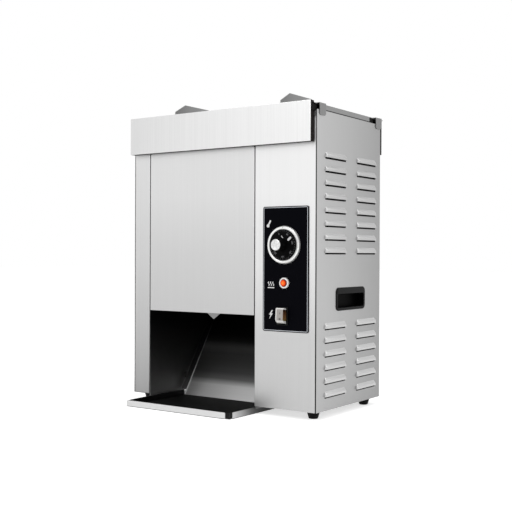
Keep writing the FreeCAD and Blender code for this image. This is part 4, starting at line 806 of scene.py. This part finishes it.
THERMOMETER_STEM = (118.4, 348.0, 123.0, 355.6, 1.7)
BULB_X, BULB_Z, BULB_RADIUS = 117.8, 346.6, 3.2
WAVE_X, WAVE_Z, WAVE_PITCH, WAVE_SWING, WAVE_HALF = 119.9, 232.6, 5.0, 1.3, 0.95
HOT_PLATE = (118.2, 229.2, 131.8, 229.2, 0.9)
BOLT = [(126.6, 186.6), (120.6, 177.8), (124.0, 177.8), (121.6, 169.6), (129.2, 180.6), (125.8, 180.6),
        (129.4, 186.6)]
shape = bmesh.new()
flat_mark(shape, capsule(*THERMOMETER_STEM), MARK_BACK, MARK_RISE)
bulb = [(BULB_X + BULB_RADIUS * math.cos(a), BULB_Z + BULB_RADIUS * math.sin(a))
        for a in [math.pi * k / 8 for k in range(16)]]
flat_mark(shape, bulb, MARK_BACK, MARK_RISE + 0.02)
for k in range(3):
    x = WAVE_X + WAVE_PITCH * k
    wave = [(x + WAVE_SWING * math.sin(2 * math.pi * j / 8), WAVE_Z + 1.0 * j) for j in range(9)]
    outline = [(a - WAVE_HALF, b) for a, b in wave] + [(a + WAVE_HALF, b) for a, b in reversed(wave)]
    flat_mark(shape, outline, MARK_BACK, MARK_RISE)
flat_mark(shape, capsule(*HOT_PLATE), MARK_BACK, MARK_RISE)
flat_mark(shape, BOLT, MARK_BACK, MARK_RISE)
lay_down(shape, "plate_pictures", (mark_white,), "casing", "cap_silver")


# Thermostat dial: a bright index disc on the panel, seen as a ring with an index mark at
# the top, and a black moulded knob with printed temperatures, a white tick, a painted
# highlight and round cap.
RING_BACK = -1.1
RING_FACE = -5.3
RING_CROWN = -7.3
INDEX_IN, INDEX_OUT = 32.4, 33.6
PRINT_SINK = 0.02
RING_PROFILE = [(5.0, RING_BACK), (35.4, RING_BACK), (36.0, RING_BACK - 0.8), (35.6, RING_CROWN + 2.6),
                (35.0, RING_CROWN + 0.9), (34.0, RING_CROWN), (31.6, RING_CROWN), (30.5, RING_CROWN + 0.5),
                (30.1, RING_CROWN + 1.4), (30.0, RING_FACE), (5.0, RING_FACE), (5.0, RING_BACK)]
ring_bright = plain("ring_bright", (0.86, 0.86, 0.85), 0.6, 0.3, 0.03)
shape = bmesh.new()
turn_profile(shape, RING_PROFILE, KNOB_AXIS, "Y", 72)
lay_down(shape, "dial_ring", (ring_bright,), "casing", "bezel_metal", "dial_bezel")
shape = bmesh.new()
mark = capsule(HOLE_KNOB[0], HOLE_KNOB[1] + INDEX_IN, HOLE_KNOB[0], HOLE_KNOB[1] + INDEX_OUT, 0.6)
flat_mark(shape, mark, RING_CROWN + PRINT_SINK, 0.08)
lay_down(shape, "index_mark", (mark_grey,), "casing", "plate_black")

SKIRT_BACK = -5.6
SKIRT_FACE = -7.9
GRIP_FACE = -31.3
KNOB_PROFILE = [(0, SKIRT_BACK), (28.8, SKIRT_BACK), (29.4, SKIRT_BACK - 0.6), (29.4, SKIRT_FACE + 0.8),
                (28.6, SKIRT_FACE), (13.2, SKIRT_FACE), (12.3, SKIRT_FACE - 0.4), (12.0, SKIRT_FACE - 1.4),
                (11.9, GRIP_FACE + 1.4), (11.5, GRIP_FACE + 0.4), (10.6, GRIP_FACE), (0, GRIP_FACE)]
GRIP_FLUTES = 20
FLUTE_FROM, FLUTE_TO = 11.0, 12.2
FLUTE_DEPTH = 0.035
knob_black = plain("knob_black", (0.0012, 0.0012, 0.0014), 0, 0.42, 0.03, 0, 0.03)
shape = bmesh.new()
turn_profile(shape, KNOB_PROFILE, KNOB_AXIS, "Y", GRIP_FLUTES * 4)
for vert in shape.verts:
    dx, dz = vert.co.x - HOLE_KNOB[0], vert.co.z - HOLE_KNOB[1]
    reach = math.hypot(dx, dz)
    if FLUTE_FROM < reach < FLUTE_TO and vert.co.y < SKIRT_FACE - 1:
        wave = 1 - FLUTE_DEPTH * (0.5 + 0.5 * math.cos(GRIP_FLUTES * math.atan2(dz, dx)))
        vert.co.x = HOLE_KNOB[0] + dx * wave
        vert.co.z = HOLE_KNOB[1] + dz * wave
lay_down(shape, "dial_knob", (knob_black,), "thermostat", "knob_black", "thermostat_knob", smooth=50)


def on_dial(radius, degrees):
    """A place on the knob's skirt, counted from the right and up over the top."""
    turn = math.radians(degrees)
    return HOLE_KNOB[0] + radius * math.cos(turn), HOLE_KNOB[1] + radius * math.sin(turn)


def words(name, text, size, middle, y_face, rise, turn, look, body, slot, tilt=0.0, heavier=0.0):
    """A short number or sign in relief, turned about Y or tilted back about X."""
    data = bpy.data.curves.new(name, "FONT")
    data.body = text
    data.size = size
    data.align_x = "CENTER"
    data.align_y = "CENTER"
    data.extrude = rise / 2
    data.offset = heavier
    data.resolution_u = 3
    temporary = bpy.data.objects.new(name, data)
    scene.collection.objects.link(temporary)
    bpy.context.view_layer.update()
    mesh = bpy.data.meshes.new_from_object(temporary)
    bpy.data.objects.remove(temporary)
    stand = Matrix.Rotation(math.radians(turn), 4, "Y") @ Matrix.Rotation(math.pi / 2 + tilt, 4, "X")
    mesh.transform(Matrix.Translation((middle[0], y_face - rise / 2, middle[1])) @ stand)
    shape = bmesh.new()
    shape.from_mesh(mesh)
    bmesh.ops.remove_doubles(shape, verts=shape.verts[:], dist=1e-4)
    bpy.data.meshes.remove(mesh)
    return lay_down(shape, name, (look,), body, slot, smooth=30)


DIAL_START = 112
DIAL_STEP = 50
DIAL_NUMBERS = 7
DEGREES_STEP = 50
NUMBER_SIZE = 4.4
NUMBER_REACH = 22.0
TICKS_EACH = 5
TICK_LONG, TICK_SHORT, TICK_OUT, TICK_HALF = 25.4, 26.4, 27.6, 0.24
PRINT_FACE = SKIRT_FACE + PRINT_SINK
for k in range(DIAL_NUMBERS):
    angle = DIAL_START - DIAL_STEP * k
    words(f"dial_number_{k}", str(DEGREES_STEP * k), NUMBER_SIZE, on_dial(NUMBER_REACH, angle), PRINT_FACE,
          0.1, 90 - angle, mark_grey, "thermostat", "cap_silver")
shape = bmesh.new()
for k in range((DIAL_NUMBERS - 1) * TICKS_EACH + 1):
    angle = DIAL_START - DIAL_STEP * k / TICKS_EACH
    inner = TICK_LONG if k % TICKS_EACH == 0 else TICK_SHORT
    tick = capsule(*on_dial(inner, angle), *on_dial(TICK_OUT, angle), TICK_HALF, 2)
    flat_mark(shape, tick, PRINT_FACE, 0.08)
lay_down(shape, "dial_ticks", (mark_grey,), "thermostat", "cap_silver")
shape = bmesh.new()
# Two white marks on the skirt: a thin tick, and a broad oval beside it that is a painted highlight.
flat_mark(shape, capsule(*on_dial(12.6, 86), *on_dial(16.8, 98), 0.75), PRINT_FACE, 0.15)
flat_mark(shape, capsule(*on_dial(16.2, 37), *on_dial(22.2, 38), 2.1, 8), PRINT_FACE, 0.2)
lay_down(shape, "dial_tick_and_highlight", (mark_white,), "thermostat", "cap_silver")

CAP_PROFILE = [(0, GRIP_FACE - 0.05), (10.0, GRIP_FACE - 0.05), (10.4, GRIP_FACE - 0.3),
               (10.1, GRIP_FACE - 0.7), (9.2, GRIP_FACE - 0.95), (0, GRIP_FACE - 1.04)]
SWIRL_SCALE = 170
look, tree, shader = new_look("cap_bright", (0.85, 0.85, 0.86), 0.55, 0.3)
place = object_place(tree, at(*KNOB_AXIS), (SWIRL_SCALE, SWIRL_SCALE, SWIRL_SCALE))
swirl = add_node(tree, "ShaderNodeTexNoise", Scale=1.0, Detail=1.5, Distortion=1.4)
join(tree, place, "Vector", swirl, "Vector")
shade = add_node(tree, "ShaderNodeMapRange", From_Min=0.40, From_Max=0.62, To_Min=0.66, To_Max=0.86)
join(tree, swirl, "Fac", shade, "Value")
tone = tree.nodes.new("ShaderNodeCombineColor")
for channel in ("Red", "Green", "Blue"):
    join(tree, shade, "Result", tone, channel)
join(tree, tone, "Color", shader, "Base Color")
shape = bmesh.new()
turn_profile(shape, CAP_PROFILE, KNOB_AXIS, "Y", 56)
lay_down(shape, "dial_cap", (look,), "thermostat", "cap_silver", "knob_cap")


# Pilot lamp: a white moulded ring pressed into the panel's hole, and a domed orange lens
# in it that glows and is darker towards its edge.
LAMP_BACK = -1.1
RING_TOP = -5.7
LENS_TOP = -9.1
LENS_RADIUS = 7.2
LAMP_PROFILE = [(6.0, LAMP_BACK), (9.8, LAMP_BACK), (10.2, LAMP_BACK - 0.5), (10.2, RING_TOP + 0.7),
                (9.9, RING_TOP + 0.2), (9.4, RING_TOP), (7.5, RING_TOP), (7.1, RING_TOP + 0.3),
                (6.9, RING_TOP + 0.8), (6.0, RING_TOP + 0.8), (6.0, LAMP_BACK)]
lamp_white = plain("lamp_white", (0.93, 0.92, 0.91), 0, 0.35, 0.02)
shape = bmesh.new()
turn_profile(shape, LAMP_PROFILE, LAMP_AXIS, "Y", 48)
lay_down(shape, "lamp_collar", (lamp_white,), "casing", "lamp_ring", "lamp_bezel")
LENS_PROFILE = [(0, 10.0), (5.4, 10.0), (5.4, RING_TOP + 0.8), (6.8, RING_TOP + 0.8), (6.8, RING_TOP - 0.2),
                (6.4, LENS_TOP + 2.2), (5.3, LENS_TOP + 1.2), (3.6, LENS_TOP + 0.5), (1.6, LENS_TOP + 0.08),
                (0, LENS_TOP)]
look, tree, shader = new_look("lens_orange", (0.9, 0.16, 0.02), 0, 0.15)
place = object_place(tree, at(*LAMP_AXIS), (1 / (LENS_RADIUS * MM), 0.0, 1 / (LENS_RADIUS * MM)))
length = tree.nodes.new("ShaderNodeVectorMath")
length.operation = "LENGTH"
join(tree, place, "Vector", length, 0)
ramp = tree.nodes.new("ShaderNodeValToRGB")
points = ramp.color_ramp.elements
points[0].position, points[0].color = 0.15, (1.0, 0.19, 0.03, 1)
points[1].position, points[1].color = 0.92, (0.10, 0.004, 0.001, 1)
point = points.new(0.60)
point.color = (0.72, 0.06, 0.006, 1)
join(tree, length, "Value", ramp, "Fac")
join(tree, ramp, "Color", shader, "Base Color")
join(tree, ramp, "Color", shader, "Emission Color")
shader.inputs["Emission Strength"].default_value = 0.5
shader.inputs["Specular IOR Level"].default_value = 0.1
shape = bmesh.new()
turn_profile(shape, LENS_PROFILE, LAMP_AXIS, "Y", 48)
lay_down(shape, "lamp_dome", (look,), "casing", "lamp_orange", "lamp_lens")


# Power switch: a black moulded frame, and a cream rocker with amber flanks, its face a
# little hollow and marked I and O. A grey patch on the face is painted shade inside a
# cream rim, and the right flank's amber is its own colour with painted shade, darker upwards.
switch_black = plain("switch_black", (0.003, 0.003, 0.003), 0, 0.45, 0.05, 0, 0.12)
softened("switch_surround", "switch_frame", (switch_black,), "casing", "switch_black", 0.5)
ROCKER_HALF = 8.4
ROCKER_TILT = math.radians(-9.0)
ROCKER_PIVOT = 1.0
ROCKER_SIDE = [(0, 14.0), (-13.6, 14.0), (-15.6, 13.3), (-16.3, 11.8), (-15.9, 7.0), (-15.2, 1.0),
               (-14.9, -3.0), (-14.6, -6.6), (-13.6, -9.8), (-11.6, -12.3), (-8.6, -13.7), (-5.0, -14.0),
               (0, -14.0), (7.0, -6.0), (7.0, 6.0)]
rocker_white = plain("rocker_white", (0.84, 0.83, 0.81), 0, 0.3, 0.02)
# Painted shade: the face's grey patch is the cream in shade.
rocker_face_shade = plain("rocker_face_shade", (0.40, 0.375, 0.355), 0, 0.35, 0.02)
mark_dark = plain("mark_dark", (0.05, 0.05, 0.05), 0, 0.4, 0.02)
# The right flank: amber, with painted shade that darkens it towards the top.
look, tree, shader = new_look("rocker_amber_shade", (0.2, 0.1, 0.05), 0, 0.3)
ramp = tone_run(tree, at(0, 0, SWITCH_MIDDLE[1] - 12).z, at(0, 0, SWITCH_MIDDLE[1] + 13).z, "Z", [1, 1, 1, 1])
AMBER_SHADE_TONES = [(0.22, 0.19, 0.06), (0.23, 0.12, 0.045), (0.13, 0.055, 0.02), (0.02, 0.008, 0.003)]
for point, colour in zip(ramp.color_ramp.elements, AMBER_SHADE_TONES):
    point.color = (*colour, 1)
join(tree, ramp, "Color", shader, "Base Color")
shape = bmesh.new()
verts = [shape.verts.new((-ROCKER_HALF, y, z)) for y, z in ROCKER_SIDE]
side_face = shape.faces.new(verts)
made = bmesh.ops.extrude_face_region(shape, geom=[side_face])["geom"]
bmesh.ops.translate(shape, vec=(ROCKER_HALF * 2, 0, 0), verts=verts_of(made))
bmesh.ops.recalc_face_normals(shape, faces=shape.faces[:])
brim = [e for e in shape.edges if e.calc_face_angle(0) > 1.2 and max(v.co.y for v in e.verts) < -1]
bevel(shape, brim, 0.8, 3)
LIP_TOP, LIP_FOOT, LIP_LEFT = 11.2, -9.8, 2.3
cut_lines(shape, 2, (LIP_TOP, LIP_FOOT))
cut_lines(shape, 0, (-ROCKER_HALF + LIP_LEFT,))
for face in shape.faces:
    middle = face.calc_center_median()
    if LIP_FOOT < middle.z < LIP_TOP and middle.x > -ROCKER_HALF + LIP_LEFT:
        face.material_index = 1 if middle.x < ROCKER_HALF - 0.4 else 2
bmesh.ops.rotate(shape, verts=shape.verts, cent=(0, 0, 0), matrix=Matrix.Rotation(ROCKER_TILT, 3, "X"))
bmesh.ops.translate(shape, vec=(SWITCH_MIDDLE[0], ROCKER_PIVOT, SWITCH_MIDDLE[1]), verts=shape.verts)
lay_down(shape, "rocker_cap", (rocker_white, rocker_face_shade, look), "rocker", "rocker_cream", "switch_rocker",
         smooth=30)
for name, sign, level, face_y in (("mark_on", "I", 6.0, -13.9), ("mark_off", "O", -4.6, -14.7)):
    place = (SWITCH_MIDDLE[0] + 1.4, SWITCH_MIDDLE[1] + level)
    words(name, sign, 4.6, place, face_y, 0.2, 0, mark_dark, "rocker", "rocker_cream", ROCKER_TILT, 0.2)


# Tray: a plain steel pan with its rims turned up and its front right corner open, and a
# loose black liner in it.
TRAY = (-171.95, 85.55, -79.5, 110.5)
TRAY_FLOOR = -15.0
TRAY_RIM = -2.7
TRAY_NOTCH = 10.0
TRAY_RIM_BACK = 88.0


def rim_plate(shape, corners, push):
    """A thin upright plate with eased corners: its outline, pushed to a thickness."""
    verts = [shape.verts.new(c) for c in corners]
    face = shape.faces.new(verts)
    made = bmesh.ops.extrude_face_region(shape, geom=[face])["geom"]
    moved = verts_of(made)
    bmesh.ops.translate(shape, vec=push, verts=moved)
    ends = [e for e in shape.edges if (e.verts[0] in moved) != (e.verts[1] in moved)
            and (e.verts[0] in verts or e.verts[1] in verts) and max(v.co.z for v in e.verts) > TRAY_RIM - 1]
    bevel(shape, ends, 1.8, 3)


tray_x0, tray_x1, tray_y0, tray_y1 = TRAY
shape = bmesh.new()
solid_box(shape, tray_x0, tray_x1, tray_y0, tray_y1, TRAY_FLOOR, TRAY_FLOOR + 1)
rim_plate(shape, [(tray_x0, tray_y0, TRAY_FLOOR), (tray_x1 - TRAY_NOTCH, tray_y0, TRAY_FLOOR),
                  (tray_x1 - TRAY_NOTCH, tray_y0, TRAY_RIM), (tray_x0, tray_y0, TRAY_RIM)], (0, 1, 0))
for x, push in ((tray_x0, 1), (tray_x1, -1)):
    rim_plate(shape, [(x, tray_y0 + TRAY_NOTCH, TRAY_FLOOR), (x, TRAY_RIM_BACK, TRAY_FLOOR),
                      (x, TRAY_RIM_BACK, TRAY_RIM), (x, tray_y0 + TRAY_NOTCH, TRAY_RIM)], (push, 0, 0))
bmesh.ops.recalc_face_normals(shape, faces=shape.faces[:])
# Painted shade: the pan and its rims darken from front to back.
tray_shade_run = (at(0, tray_y0 + 2, 0).y, at(0, 60, 0).y, "Y", [0.60, 0.40, 0.14, 0.05, 0.03])
tray_steel = brushed_steel("tray_steel", "X", [tray_shade_run], 0.4, 0.02)
lay_down(shape, "bun_tray_pan", (tray_steel,), "tray", "tray_steel", "bun_tray", smooth=30)
dress(plain("liner_black", (0.004, 0.004, 0.004), 0.0, 0.5, 0.05, 0, 0.15), "tray_liner")


# Hood: front and rear bands, deck with the feed slots, hooks over the sides and upright
# cheeks. One stainless assembly that lifts off, on four rubber buffers. The bands are
# brushed outside, with painted light along the front band and painted shade inside.
band_low, band_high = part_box("front_band")
# Painted light: the front band brightens towards its right end, where the light falls.
BAND_LIGHT_TONES = [0.69, 0.735, 0.77, 0.785]
BAND_SHEET = 1.2
BAND_LIP = 7.0
BAND_END = 12.6
BAND_EDGE = 0.8
# Painted shade for the bands' insides; the rear band is a darker, shaded copy of the band steel.
band_inside_shade = plain("band_inside_shade", (0.010, 0.008, 0.007), 0.4, 0.6, 0.05, 0, 0.1)
band_run = (band_low.x, band_high.x, "X")
band_steel = brushed_steel("band_steel", "Z", [(*band_run, BAND_LIGHT_TONES)], 0.36, 0.02, streaks=0.022)
shaded_back_steel = brushed_steel("shaded_back_steel", "Z", [(*band_run, [0.45, 0.45])], 0.36, 0.02)


def band(name, node, face_y, inward, look):
    """A folded channel: a bright face, its lips and ends turned in and painted dark as shade."""
    low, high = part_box(node)
    x0, x1 = low.x / MM, high.x / MM
    z0, z1 = (low.z - CASING_BASE) / MM, (high.z - CASING_BASE) / MM
    shape = bmesh.new()
    y0, y1 = sorted((face_y, face_y + inward * BAND_SHEET))
    solid_box(shape, x0, x1, y0, y1, z0, z1)
    skin = max(shape.faces, key=lambda f: -f.normal.y * inward)
    bevel(shape, list(skin.edges), BAND_EDGE, 3)
    inner = max(shape.faces, key=lambda f: (round(f.calc_center_median().y * inward, 3), f.calc_area()))
    bmesh.ops.inset_region(shape, faces=[inner], thickness=BAND_SHEET, depth=0)
    level = inner.calc_center_median().y
    rim = [f for f in shape.faces if f is not inner and abs(f.calc_center_median().y - level) < 0.01]
    made = bmesh.ops.extrude_face_region(shape, geom=rim)["geom"]
    for vert in verts_of(made):
        at_end = vert.co.x < x0 + BAND_SHEET + 0.1 or vert.co.x > x1 - BAND_SHEET - 0.1
        vert.co.y += inward * ((BAND_END if at_end else BAND_LIP) - BAND_SHEET)
    bmesh.ops.delete(shape, geom=rim, context="FACES_ONLY")
    bmesh.ops.recalc_face_normals(shape, faces=shape.faces[:])
    for face in shape.faces:
        if abs(face.calc_center_median().y - face_y) > BAND_SHEET * 0.7:
            face.material_index = 1
    return lay_down(shape, name, (look, band_inside_shade), "hood", "band_steel", node, smooth=30)


band("front_band_channel", "front_band", -14.1, 1, band_steel)
band("rear_band_channel", "rear_band", 271.0, -1, shaded_back_steel)
deck_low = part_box("hood_deck")[0]
# Painted shadow on the deck: a dark line along its lower edge over the side panels, and a dark strip behind
# the front band's lip.
deck_gap_shade = (deck_low.z + 1.6 * MM, deck_low.z + 2.2 * MM, "Z", [0.10, 1.0])
deck_front_shade = (at(0, -7, 0).y, at(0, -4, 0).y, "Y", [0.06, 1.0])
deck_run = (*band_run, [0.27, 0.28])
deck_steel = brushed_steel("deck_steel", "X", [deck_run, deck_gap_shade, deck_front_shade], 0.4, 0.02)
hook_steel = brushed_steel("hook_steel", "X", [(*band_run, [0.22, 0.24])], 0.4, 0.02)
cheek_run = (at(0, 90, 0).y, at(0, 214, 0).y, "Y", [0.20, 0.26, 0.30])
cheek_steel = brushed_steel("cheek_steel", "Z", [cheek_run], 0.4, 0.02)
dress(deck_steel, "hood_deck")
softened("side_hooks", "hood_hooks", (hook_steel,), "hood", "deck_steel", 0.35)
softened("left_cheek_plate", "left_cheek", (cheek_steel,), "hood", "deck_steel", 0.3)
softened("right_cheek_plate", "right_cheek", (cheek_steel,), "hood", "deck_steel", 0.3)
softened("rubber_buffers", "hood_buffers", (foot_black,), "hood", "buffer_rubber", 1.5, 3)
